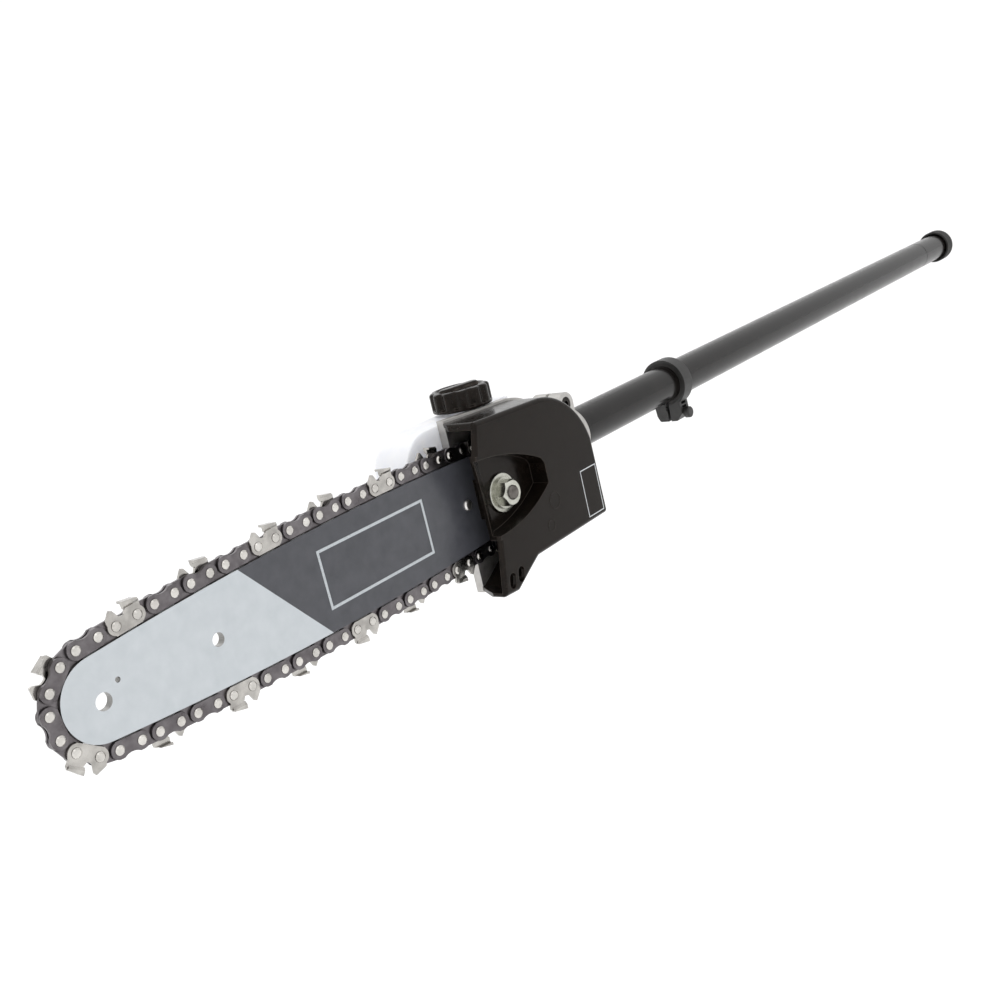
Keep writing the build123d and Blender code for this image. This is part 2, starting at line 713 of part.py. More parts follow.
# ---------------------------------------------------------------- oil tank's places
tank_front_y = flange_back_y
tank_left = sprocket_x - 76.0
tank_low = 9.0
cap_x = sprocket_x - cap_from_sprocket
cap_y = bar_y + cap_behind_bar
ear_r = 4.2
ear_thickness = 4.0
tank_screw_r = 2.0
tank_screw_head_r = 3.6
tank_screw_head_height = 2.4
tank_ears = (
    (sprocket_x - 27.8, 14.8, sprocket_x - 34),
    (sprocket_x + 21.5, 34.0, sprocket_x + 14),
)
hose_x = sprocket_x - 40.0
hose_y = tank_front_y + tank_depth / 2
hose_r = 2.3
hose_bore_r = 1.3

# ---------------------------------------------------------------- gear housing
lug_r = 4.6
lug_circle = case_r + 0.5
lug_places = [
    (sprocket_x + lug_circle * cos(radians(angle)), lug_circle * sin(radians(angle)))
    for angle in (35, 145, 215, 325)
]
lid_screw_r = 2.0
lid_screw_head_r = 3.5
lid_screw_head_height = 3.6
lid_screw_length = 9.5          # in the housing
clamp_bolt_r = 2.5
clamp_bolt_head_r = 4.25
clamp_bolt_head_height = 4.5       # sunk in the near ear
clamp_half_width = 11.0         # of the ears the clamp bolt pulls together
clamp_nut_height = 4.0
ear_x0 = socket_reach - 17.0
ear_x1 = socket_reach - 2.0
ear_z = tube_r + 8.0
clamp_x = sprocket_x + (ear_x0 + ear_x1) / 2
socket_r = tube_r + socket_wall


def flange_outline():
    """The flange the cover closes on: the head outline with a lip, and a tongue beside the bar."""
    head_outline()
    offset(amount=1.3)
    with Locations((sprocket_x - 61, 0)):
        Rectangle(30, 130, mode=Mode.SUBTRACT)
    with Locations(((boss_front + sprocket_x - 40) / 2, 0)):
        Rectangle(sprocket_x - 40 - boss_front, 30)


with BuildPart() as gear_housing:
    with BuildSketch(facing_plane(split_y)):
        flange_outline()
    extrude(amount=-flange_thickness)
    rod_y(case_r, flange_back_y - 1, case_back_y, sprocket_x, 0)
    rod_x(socket_r, sprocket_x, sprocket_x + socket_reach, 0, 0)
    block(sprocket_x + 10, sprocket_x + 47, split_y + 1, 0, -12, 12)
    for lug_x, lug_z in lug_places:
        rod_y(lug_r, case_back_y - 14, case_back_y, lug_x, lug_z)
    block(boss_front, boss_back, split_y + 1, screw_y + 6.5, -6.8, 6.8)
    # The ear of the tube clamp.
    block(sprocket_x + ear_x0, sprocket_x + ear_x1, -clamp_half_width, clamp_half_width, tube_r - 3, ear_z)
    rod_y((ear_x1 - ear_x0) / 2, -clamp_half_width, clamp_half_width, clamp_x, ear_z)
    # Inside: gear chamber, bearing seats, tube bore.
    rod_y(case_r - case_wall, split_y + 10, case_back_y + 1, sprocket_x, 0, Mode.SUBTRACT)
    rod_y(front_bearing[1], front_bearing[2], split_y + 11, sprocket_x, 0, Mode.SUBTRACT)
    rod_y(output_shaft_r + 2, split_y - 1, split_y + 3, sprocket_x, 0, Mode.SUBTRACT)
    rod_x(tube_r, sprocket_x, sprocket_x + 21, 0, 0, Mode.SUBTRACT)
    rod_x(pinion_bearing[1], sprocket_x, pinion_bearing[3], 0, 0, Mode.SUBTRACT)
    rod_x(9.5, sprocket_x, sprocket_x + socket_start + 1, 0, 0, Mode.SUBTRACT)
    rod_x(tube_r, sprocket_x + socket_start, sprocket_x + socket_reach + 1, 0, 0, Mode.SUBTRACT)
    # Clamp slit and bolt hole.
    block(sprocket_x + ear_x0 - 12, sprocket_x + socket_reach + 1, -1, 1, 0, ear_z + 20, Mode.SUBTRACT)
    rod_y(clamp_bolt_r + 0.1, -clamp_half_width - 1, clamp_half_width + 1, clamp_x, ear_z, Mode.SUBTRACT)
    head_seat_y = -clamp_half_width + clamp_bolt_head_height
    rod_y(clamp_bolt_head_r + gap, -clamp_half_width - 1, head_seat_y, clamp_x, ear_z, Mode.SUBTRACT)
    # Tensioner channel, its screw, the stud's seat and the oil pump's seat.
    block(adjuster_x - slot_half, adjuster_x + slot_half, split_y - 1, screw_y + 4 + gap,
          -4 - gap, 4 + gap, Mode.SUBTRACT)
    rod_x(screw_r + running, boss_front - 1, boss_back - 0.5, screw_y, 0, Mode.SUBTRACT)
    rod_y(stud_r, split_y - 1, flange_back_y + 3, stud_x, 0, Mode.SUBTRACT)
    rod_y(stud_r + 2, flange_back_y - 3, flange_back_y + 3, stud_x, 0, Mode.SUBTRACT)
    rod_z(pump_r, pump_bottom - 9, pump_top, plunger_x, plunger_y, Mode.SUBTRACT)
    for x, z, _ in tank_ears:
        rod_y(tank_screw_r, split_y + 1, flange_back_y + 1, x, z, Mode.SUBTRACT)
    for lug_x, lug_z in lug_places:
        hole_y = case_back_y - lid_screw_length - 0.5
        rod_y(lid_screw_r, hole_y, case_back_y + 1, lug_x, lug_z, Mode.SUBTRACT)
save(gear_housing, "gear_housing")

with BuildPart() as gear_case_lid:
    rod_y(case_r, case_back_y, case_back_y + lid_thickness, sprocket_x, 0)
    for lug_x, lug_z in lug_places:
        rod_y(lug_r, case_back_y, case_back_y + lid_thickness, lug_x, lug_z)
    rod_y(case_r - case_wall - 0.1, case_back_y - 4, case_back_y, sprocket_x, 0)
    rod_y(14, case_back_y, case_back_y + lid_thickness + 2.5, sprocket_x, 0)
    fillet(faces().sort_by(Axis.Y)[-1].edges(), radius=2)
    rod_y(rear_bearing[1], case_back_y - 5, rear_bearing[3], sprocket_x, 0, Mode.SUBTRACT)
    for lug_x, lug_z in lug_places:
        rod_y(lid_screw_r + gap, case_back_y - 1, case_back_y + 9, lug_x, lug_z, Mode.SUBTRACT)
save(gear_case_lid, "gear_case_lid")

with BuildPart() as lid_screws:
    for lug_x, lug_z in lug_places:
        head_y = case_back_y + lid_thickness
        rod_y(lid_screw_r, case_back_y - lid_screw_length, head_y, lug_x, lug_z)
        rod_y(lid_screw_head_r, head_y, head_y + lid_screw_head_height, lug_x, lug_z)
        with BuildSketch(facing_plane(head_y + 2)):
            with Locations((lug_x, lug_z)):
                RegularPolygon(1.7, 6)
        extrude(amount=-4, mode=Mode.SUBTRACT)
save(lid_screws, "gear_case_screws")

clamp_nut_y = clamp_half_width + clamp_nut_height
with BuildPart() as clamp_bolt:
    rod_y(clamp_bolt_r, -clamp_half_width, clamp_nut_y + 0.5, clamp_x, ear_z)
    rod_y(clamp_bolt_head_r, -clamp_half_width, head_seat_y, clamp_x, ear_z)
    with BuildSketch(facing_plane(-clamp_half_width - 1)):
        with Locations((clamp_x, ear_z)):
            RegularPolygon(2.2, 6)
    extrude(amount=-3.7, mode=Mode.SUBTRACT)
save(clamp_bolt, "tube_clamp_bolt")

with BuildPart() as clamp_nut:
    with BuildSketch(facing_plane(clamp_half_width)):
        with Locations((clamp_x, ear_z)):
            RegularPolygon(4, 6, major_radius=False)
            Circle(clamp_bolt_r, mode=Mode.SUBTRACT)
    extrude(amount=-clamp_nut_height)
save(clamp_nut, "tube_clamp_nut")

# ---------------------------------------------------------------- bearings
bearing_groove = 1.2           # depth of the groove that shows the two races
bearing_groove_width = 2.6


def bearing(bore_r, outer_r, width):
    """A deep-groove ball bearing along +Z: two races and their balls, joined by the cage."""
    middle = (bore_r + outer_r) / 2
    with BuildPart() as ring:
        Cylinder(outer_r, width, align=FROM_BASE)
        Cylinder(bore_r, width, align=FROM_BASE, mode=Mode.SUBTRACT)
        for z in (0, width):
            with BuildSketch(Plane.XY.offset(z)):
                Circle(middle + bearing_groove_width / 2)
                Circle(middle - bearing_groove_width / 2, mode=Mode.SUBTRACT)
            extrude(amount=bearing_groove if z == 0 else -bearing_groove, mode=Mode.SUBTRACT)
    return ring.part


with BuildPart() as bearings:
    for bore_r, outer_r, y0, y1 in (front_bearing, rear_bearing):
        with Locations(Plane(origin=(sprocket_x, y0, 0), x_dir=(1, 0, 0), z_dir=(0, 1, 0)).location):
            add(bearing(bore_r + running, outer_r, y1 - y0))
save(bearings, "output_shaft_bearings")

with BuildPart() as pinion_bearing_part:
    bore_r, outer_r, x0, x1 = pinion_bearing
    with Locations(Plane(origin=(x0, 0, 0), x_dir=(0, 1, 0), z_dir=(1, 0, 0)).location):
        add(bearing(bore_r + running, outer_r, x1 - x0))
save(pinion_bearing_part, "pinion_bearing")

# ---------------------------------------------------------------- tube, drive shaft, bushings
with BuildPart() as main_tube:
    rod_x(tube_r, sprocket_x + socket_start, 0, 0, 0)
    rod_x(tube_bore_r, sprocket_x + socket_start - 1, 1, 0, 0, Mode.SUBTRACT)
    # A shallow ring marks how far the tube goes into the power unit.
    mark_x = -coupling_length - depth_mark_width
    with Locations((mark_x, 0, 0)):
        Cylinder(tube_r + 1, depth_mark_width, rotation=(0, 90, 0), align=FROM_BASE, mode=Mode.SUBTRACT)
    rod_x(tube_r - depth_mark_depth, mark_x, -coupling_length, 0, 0)
    rod_x(tube_bore_r, -coupling_length - 3, -coupling_length + 3, 0, 0, Mode.SUBTRACT)
save(main_tube, "main_tube")

shaft_end_x = -shaft_recess
with BuildPart() as drive_shaft:
    rod_x(shaft_r, sprocket_x + 11, shaft_end_x - shaft_square_length, 0, 0)
    with BuildSketch(Plane.YZ.offset(shaft_end_x)):
        Rectangle(shaft_square, shaft_square)
    extrude(amount=-shaft_square_length)
    chamfer(faces().sort_by(Axis.X)[-1].edges(), length=0.6)
save(drive_shaft, "drive_shaft")

bushing_step = (tube_reach - socket_start) / (bushing_count + 1)
with BuildPart() as bushings:
    for k in range(bushing_count):
        x = sprocket_x + socket_start + (k + 1) * bushing_step
        rod_x(tube_bore_r, x, x + bushing_length, 0, 0)
        rod_x(shaft_r + running, x - 1, x + bushing_length + 1, 0, 0, Mode.SUBTRACT)
save(bushings, "shaft_bushings")

# ---------------------------------------------------------------- bar plate behind the bar
with BuildPart() as bar_plate:
    with BuildSketch(facing_plane(bar_back_y)):
        with Locations((stud_x - 9, 0)):
            RectangleRounded(48, 34, 4)
        with Locations((stud_x, 0)):
            Circle(stud_r + 0.1, mode=Mode.SUBTRACT)
        with Locations((adjuster_x, 0)):
            SlotOverall(2 * (adjuster_r + tension_travel + gap), 2 * (adjuster_r + gap), mode=Mode.SUBTRACT)
        with Locations((sprocket_x, 0)):
            Circle(sprocket_r + 2.4, mode=Mode.SUBTRACT)
    extrude(amount=-(split_y - bar_back_y))
save(bar_plate, "bar_guide_plate")

# ---------------------------------------------------------------- oil tank
def tank_outline():
    """Seen from the cover side: a deep left end, and a shallow arm that runs over the gear case."""
    x = sprocket_x
    with BuildLine() as edge:
        Polyline(
            (tank_left + 20, tank_top), (x + 16, tank_top), (x + 16, case_r + 3.5),
            (x - 26, case_r + 3.5), (x - 32, 20), (x - 32, tank_low), (tank_left + 6, tank_low),
            (tank_left, tank_low + 6),
        )
        Line((tank_left, tank_low + 6), (tank_left, tank_top - 20))
        ThreePointArc(
            (tank_left, tank_top - 20),
            (tank_left + 20 * (1 - sin(pi / 4)), tank_top - 20 * (1 - cos(pi / 4))),
            (tank_left + 20, tank_top),
        )
    make_face(edge.edges())


with BuildPart() as oil_tank:
    with BuildSketch(facing_plane(tank_front_y)):
        tank_outline()
    extrude(amount=-tank_depth)
    fillet(faces().sort_by(Axis.Y)[-1].outer_wire().edges(), radius=3.5)
    with BuildSketch(facing_plane(tank_front_y + tank_wall)):
        tank_outline()
        offset(amount=-tank_wall)
    extrude(amount=-(tank_depth - 2 * tank_wall), mode=Mode.SUBTRACT)
    rod_z(neck_r, tank_top - 2, tank_top + 7, cap_x, cap_y)
    rod_z(neck_r - 2.5, tank_top - 4, tank_top + 8, cap_x, cap_y, Mode.SUBTRACT)
    # Hose socket in the bottom, and two screw ears.
    for x, z, inner_x in tank_ears:
        rod_y(ear_r, tank_front_y, tank_front_y + ear_thickness, x, z)
        block(min(x, inner_x), max(x, inner_x), tank_front_y, tank_front_y + ear_thickness,
              z - ear_r + 0.3, z + ear_r - 0.3)
        rod_y(tank_screw_r + 0.2, tank_front_y - 1, tank_front_y + 5, x, z, Mode.SUBTRACT)
    rod_z(hose_bore_r, tank_low - 1, tank_low + 4, hose_x, hose_y, Mode.SUBTRACT)
save(oil_tank, "oil_tank")

with BuildPart() as tank_screws:
    for x, z, _ in tank_ears:
        rod_y(tank_screw_r, split_y + 1.3, tank_front_y + ear_thickness, x, z)
        head_y = tank_front_y + ear_thickness
        rod_y(tank_screw_head_r, head_y, head_y + tank_screw_head_height, x, z)
        fillet(edges(Select.LAST).group_by(Axis.Y)[-1], radius=0.8)
save(tank_screws, "oil_tank_screws")

with BuildPart() as oil_filter:
    rod_z(4.0, tank_low + tank_wall, tank_low + tank_wall + 9, hose_x, hose_y)
    rod_z(hose_bore_r, tank_low, tank_low + tank_wall + 6, hose_x, hose_y, Mode.SUBTRACT)
    fillet(faces().sort_by(Axis.Z)[-1].edges(), radius=1.2)
save(oil_filter, "oil_filter")

with BuildPart() as oil_hose:
    with BuildLine():
        FilletPolyline(
            (hose_x, hose_y, tank_low), (hose_x, hose_y, -30.0),
            (plunger_x, plunger_y, pump_bottom - 13), (plunger_x, plunger_y, pump_bottom),
            radius=6.5,
        )
    with BuildSketch(Plane(origin=(hose_x, hose_y, tank_low), z_dir=(0, 0, -1))):
        Circle(hose_r)
        Circle(hose_bore_r, mode=Mode.SUBTRACT)
    sweep()
save(oil_hose, "oil_hose")

# ---------------------------------------------------------------- oil cap and its seal
cap_low = tank_top + 1.8
cap_top = cap_low + cap_height
neck_top = tank_top + 7.0
seal_r = 1.1
grip_count = 12

with BuildPart() as oil_cap:
    rod_z(cap_r, cap_low, cap_top, cap_x, cap_y)
    fillet(faces().sort_by(Axis.Z)[-1].edges(), radius=1.4)
    fillet(faces().sort_by(Axis.Z)[0].edges(), radius=0.6)
    with Locations((cap_x, cap_y, cap_low + 1.6)):
        with PolarLocations(cap_r + 0.9, grip_count):
            Cylinder(1.9, cap_height, align=FROM_BASE, mode=Mode.SUBTRACT)
    rod_z(cap_r - 3.2, cap_low + cap_height - 1.6, cap_top, cap_x, cap_y)
    with BuildSketch(Plane.XY.offset(cap_top - 1)):
        with Locations((cap_x, cap_y)):
            RectangleRounded(25, 7.0, 3.2, rotation=-15)
    extrude(amount=1 + cap_rib_height)
    fillet(faces().sort_by(Axis.Z)[-1].edges(), radius=1.2)
    rod_z(neck_r + gap, cap_low - 1, neck_top + 2 * seal_r + 0.2, cap_x, cap_y, Mode.SUBTRACT)
save(oil_cap, "oil_cap")

with BuildPart() as cap_seal:
    with Locations((cap_x, cap_y, neck_top + seal_r)):
        Torus(neck_r - 1.25, seal_r)
save(cap_seal, "oil_cap_seal")

# ---------------------------------------------------------------- tube clip
clip_x = sprocket_x + clip_from_sprocket
clip_bore_r = 15.2
lug_half_width = 10.0
lug_foot = -27.5
clip_screw_z = -22.7
clip_screw_r = 2.0

with BuildPart() as clip_liner:
    rod_x(clip_bore_r, clip_x - clip_width / 2 + 0.6, clip_x + clip_width / 2 - 0.6, 0, 0)
    rod_x(tube_r + running, clip_x - clip_width, clip_x + clip_width, 0, 0, Mode.SUBTRACT)
    block(clip_x - clip_width, clip_x + clip_width, -1, 1, -20, 0, Mode.SUBTRACT)
save(clip_liner, "tube_clip_liner")

with BuildPart() as tube_clip:
    rod_x(clip_r, clip_x - clip_width / 2, clip_x + clip_width / 2, 0, 0)
    with BuildSketch(Plane.YZ.offset(clip_x - clip_width / 2)):
        Polygon((-lug_half_width, -12), (-lug_half_width - 0.5, lug_foot + 5),
                (-lug_half_width + 4, lug_foot), (lug_half_width - 2, lug_foot),
                (lug_half_width, lug_foot + 4), (lug_half_width + 1, -12),
                align=None)
    extrude(amount=clip_width)
    fillet(edges().filter_by(Axis.X).group_by(Axis.Z)[0], radius=1.5)
    rod_x(clip_bore_r, clip_x - clip_width, clip_x + clip_width, 0, 0, Mode.SUBTRACT)
    block(clip_x - clip_width, clip_x + clip_width, -1, 1, -50, 0, Mode.SUBTRACT)
    # Ladder of slots in the near jaw.
    for z in (-15.2, -18.1):
        block(clip_x - 3.0, clip_x + 3.0, -lug_half_width - 2, -lug_half_width + 3.5, z - 0.9, z + 0.9,
              Mode.SUBTRACT)
    # Teeth between the jaws.
    for z in (-17.0, -18.9):
        block(clip_x - clip_width / 2, clip_x + clip_width / 2, 1, 1.9, z - 0.5, z + 0.5, Mode.SUBTRACT)
    rod_y(clip_screw_r + running, -20, 20, clip_x, clip_screw_z, Mode.SUBTRACT)
save(tube_clip, "tube_clip")

with BuildPart() as clip_screw:
    rod_y(clip_screw_r, -12, 9, clip_x, clip_screw_z)
    rod_y(4.0, -15.0, -11.0, clip_x, clip_screw_z)
    fillet(faces().sort_by(Axis.Y)[0].edges(), radius=1.3)
save(clip_screw, "tube_clip_screw")

# ---------------------------------------------------------------- end cap
plug_r = tube_bore_r - 0.1
mouth_r = 9.0

with BuildPart() as end_cap:
    rod_x(cap_skirt_r, -cap_skirt_length, 3, 0, 0)
    fillet(faces().sort_by(Axis.X)[-1].edges(), radius=1.2)
    rod_x(tube_r + 1.2, -cap_skirt_length - 1, 0, 0, 0, Mode.SUBTRACT)
    rod_x(plug_r, -cap_skirt_length + 2, 1, 0, 0)
    for x in (-9.0, -5.4, -1.8):
        with Locations((x, 0, 0)):
            Torus(cap_skirt_r + 0.25, 0.8, rotation=(0, 90, 0), mode=Mode.SUBTRACT)
    rod_x(mouth_r, -cap_skirt_length - 1, 4, 0, 0, Mode.SUBTRACT)
save(end_cap, "end_cap")
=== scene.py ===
"""Looks for a pole saw attachment: materials, prints, moulded detail, stage and camera.

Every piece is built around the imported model, in metres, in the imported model's own frame:
the origin on the tube axis at its outer end, +X along the tube away from the saw head,
+Z up, and the chain cover facing -Y.
"""

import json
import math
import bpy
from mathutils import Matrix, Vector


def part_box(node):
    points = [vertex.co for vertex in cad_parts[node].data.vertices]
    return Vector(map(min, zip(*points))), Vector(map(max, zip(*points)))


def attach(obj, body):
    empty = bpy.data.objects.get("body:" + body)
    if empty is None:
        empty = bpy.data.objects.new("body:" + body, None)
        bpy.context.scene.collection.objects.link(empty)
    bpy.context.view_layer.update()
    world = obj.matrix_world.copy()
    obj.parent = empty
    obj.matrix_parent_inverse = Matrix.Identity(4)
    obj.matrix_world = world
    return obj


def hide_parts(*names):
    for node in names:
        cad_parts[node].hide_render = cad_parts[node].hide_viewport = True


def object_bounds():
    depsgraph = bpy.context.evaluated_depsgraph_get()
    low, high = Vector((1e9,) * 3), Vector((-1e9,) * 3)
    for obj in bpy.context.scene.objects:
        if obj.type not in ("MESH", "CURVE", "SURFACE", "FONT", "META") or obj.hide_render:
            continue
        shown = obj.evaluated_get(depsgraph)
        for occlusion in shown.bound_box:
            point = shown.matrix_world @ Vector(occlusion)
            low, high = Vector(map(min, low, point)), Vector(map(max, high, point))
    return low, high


bl_info = {
    "name": "Pole Saw Attachment",
    "version": (1, 0, 0),
    "blender": (4, 5, 0),
    "location": "3D View > Sidebar > Pole Saw",
    "description": "Builds the finish and the fine detail of a pole saw attachment",
    "category": "Object",
}

import bpy
import numpy as np
from mathutils import Matrix, Vector

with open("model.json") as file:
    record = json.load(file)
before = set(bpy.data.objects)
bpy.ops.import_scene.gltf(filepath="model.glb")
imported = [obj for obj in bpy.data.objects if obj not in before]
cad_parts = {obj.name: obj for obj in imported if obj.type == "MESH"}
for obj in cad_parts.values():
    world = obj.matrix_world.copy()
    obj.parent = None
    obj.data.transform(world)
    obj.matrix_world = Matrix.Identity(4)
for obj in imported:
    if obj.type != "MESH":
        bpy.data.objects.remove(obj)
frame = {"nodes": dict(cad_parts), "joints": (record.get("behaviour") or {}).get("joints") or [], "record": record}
cad_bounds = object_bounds()

MM = 0.001
TAU = 2 * math.pi
JOINTS = {joint["name"]: joint for joint in frame["joints"]}

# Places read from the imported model, in metres.
SPROCKET_X = JOINTS["sprocket_spin"]["pos_m"][0]
STUD_X = JOINTS["bar_nut_turn"]["pos_m"][0]
CAP_X, CAP_Y = JOINTS["oil_cap_turn"]["pos_m"][:2]
CAP_LOW, CAP_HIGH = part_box("oil_cap")
STUD_LOW, STUD_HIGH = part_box("bar_stud")
BAR_FACE_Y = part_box("guide_bar")[0].y
COVER_FACE_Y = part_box("side_cover")[0].y


# ---------------------------------------------------------------- colours and nodes
def linear(hex_colour):
    """A hex sRGB colour as linear red, green, blue and alpha."""
    channels = [int(hex_colour[k:k + 2], 16) / 255 for k in (1, 3, 5)]
    return [c / 12.92 if c <= 0.04045 else ((c + 0.055) / 1.055) ** 2.4 for c in channels] + [1.0]


def put(tree, kind, sockets=None, **settings):
    """Add one node. Settings are its own properties; sockets are its inputs, each a value or an output."""
    node = tree.nodes.new(kind)
    for key, value in settings.items():
        setattr(node, key, value)
    for key, value in (sockets or {}).items():
        if isinstance(value, bpy.types.NodeSocket):
            tree.links.new(value, node.inputs[key])
        else:
            node.inputs[key].default_value = value
    return node


def new_material(name):
    """An empty node material and its tree."""
    material = bpy.data.materials.new(name)
    material.use_nodes = True
    material.node_tree.nodes.clear()
    return material, material.node_tree


def close_material(tree, shader):
    """Send a shader to the surface."""
    put(tree, "ShaderNodeOutputMaterial", {"Surface": shader.outputs[0]})


def per_mm(size_mm):
    """The texture scale that makes a pattern's grains this size, in millimetres."""
    return 1 / (size_mm * MM)


def ramp(tree, factor, stops):
    """A colour ramp between hex colours at given places."""
    node = put(tree, "ShaderNodeValToRGB", {"Fac": factor})
    elements = node.color_ramp.elements
    while len(elements) < len(stops):
        elements.new(0.5)
    for element, (place, colour) in zip(elements, stops):
        element.position = place
        element.color = linear(colour)
    return node.outputs["Color"]


def mix(tree, factor, first, second):
    """A colour between two, each a value or an output: the first at factor 0, the second at 1."""
    # Sockets 6, 7 and output 2 are the colour ones of a node that also mixes numbers and vectors.
    return put(tree, "ShaderNodeMix", {0: factor, 6: first, 7: second}, data_type="RGBA").outputs[2]


# ---------------------------------------------------------------- materials
def glossy_black_abs(settings):
    """Injection-moulded ABS from a polished mould: deep black-brown, near mirror gloss, faint ripple."""
    material, tree = new_material("moulded_glossy_abs")
    place = put(tree, "ShaderNodeTexCoord").outputs["Object"]
    ripple = put(tree, "ShaderNodeTexNoise", {"Vector": place, "Scale": per_mm(9.0), "Detail": 1.0})
    handling = put(tree, "ShaderNodeTexNoise", {"Vector": place, "Scale": per_mm(3.0), "Detail": 5.0})
    rough = put(tree, "ShaderNodeMapRange", {"Value": handling.outputs["Fac"], "From Min": 0.35,
                                             "From Max": 0.75, "To Min": 0.16, "To Max": 0.27})
    soft_edge = put(tree, "ShaderNodeBevel", {"Radius": 0.5 * MM}, samples=6)
    bump = put(tree, "ShaderNodeBump", {"Height": ripple.outputs["Fac"], "Strength": 0.06,
                                        "Distance": 0.2 * MM, "Normal": soft_edge.outputs["Normal"]})
    # Painted highlight: corners are lightened where the softened normal leaves the true one, standing in for the
    # light that the edges catch.
    true = put(tree, "ShaderNodeNewGeometry").outputs["True Normal"]
    turned = put(tree, "ShaderNodeVectorMath", {0: true, 1: soft_edge.outputs["Normal"]},
                 operation="DOT_PRODUCT")
    edge_highlight = put(tree, "ShaderNodeMapRange", {"Value": turned.outputs["Value"], "From Min": 0.99,
                                              "From Max": 0.8})
    body = ramp(tree, handling.outputs["Fac"], ((0.3, settings.cover_colour), (0.8, "#1a1410")))
    colour = mix(tree, edge_highlight.outputs["Result"], body, linear("#4b443f"))
    shader = put(tree, "ShaderNodeBsdfPrincipled", {
        "Base Color": colour, "Roughness": rough.outputs["Result"], "IOR": 1.54,
        "Specular IOR Level": 0.15, "Specular Tint": linear("#fff6ee"), "Normal": bump.outputs["Normal"]})
    close_material(tree, shader)
    return material


def satin_black_nylon(settings):
    """Glass-filled nylon: dark grey-black, satin, with the fine spark-eroded grain of its mould."""
    material, tree = new_material("moulded_satin_nylon")
    place = put(tree, "ShaderNodeTexCoord").outputs["Object"]
    grain = put(tree, "ShaderNodeTexNoise", {"Vector": place, "Scale": per_mm(0.5), "Detail": 3.0})
    flow = put(tree, "ShaderNodeTexNoise", {"Vector": place, "Scale": per_mm(6.0), "Detail": 3.0})
    soft_edge = put(tree, "ShaderNodeBevel", {"Radius": 0.4 * MM}, samples=6)
    bump = put(tree, "ShaderNodeBump", {"Height": grain.outputs["Fac"], "Strength": 0.25,
                                        "Distance": 0.05 * MM, "Normal": soft_edge.outputs["Normal"]})
    colour = ramp(tree, flow.outputs["Fac"], ((0.3, settings.clip_colour), (0.75, "#2a2928")))
    rough = put(tree, "ShaderNodeMapRange", {"Value": flow.outputs["Fac"], "To Min": 0.36, "To Max": 0.5})
    shader = put(tree, "ShaderNodeBsdfPrincipled", {
        "Base Color": colour, "Roughness": rough.outputs["Result"], "IOR": 1.53,
        "Normal": bump.outputs["Normal"]})
    close_material(tree, shader)
    return material


def powder_coated_tube(settings):
    """Steel tube with gloss black powder coat: deep black, sharp long highlights, slight orange peel."""
    material, tree = new_material("powder_coated_tube")
    place = put(tree, "ShaderNodeTexCoord").outputs["Object"]
    stretch = put(tree, "ShaderNodeMapping", {"Vector": place, "Scale": (0.25, 1.0, 1.0)})
    peel = put(tree, "ShaderNodeTexNoise", {"Vector": stretch.outputs[0], "Scale": per_mm(1.6),
                                            "Detail": 2.0})
    dust = put(tree, "ShaderNodeTexNoise", {"Vector": place, "Scale": per_mm(14.0), "Detail": 6.0})
    rough = put(tree, "ShaderNodeMapRange", {"Value": dust.outputs["Fac"], "From Min": 0.3,
                                             "From Max": 0.7, "To Min": 0.15, "To Max": 0.25})
    bump = put(tree, "ShaderNodeBump", {"Height": peel.outputs["Fac"], "Strength": 0.05,
                                        "Distance": 0.1 * MM})
    colour = ramp(tree, dust.outputs["Fac"], ((0.3, settings.tube_colour), (0.8, "#1d1a18")))
    shader = put(tree, "ShaderNodeBsdfPrincipled", {
        "Base Color": colour, "Roughness": rough.outputs["Result"], "IOR": 1.5,
        "Specular IOR Level": 0.3, "Normal": bump.outputs["Normal"]})
    close_material(tree, shader)
    return material


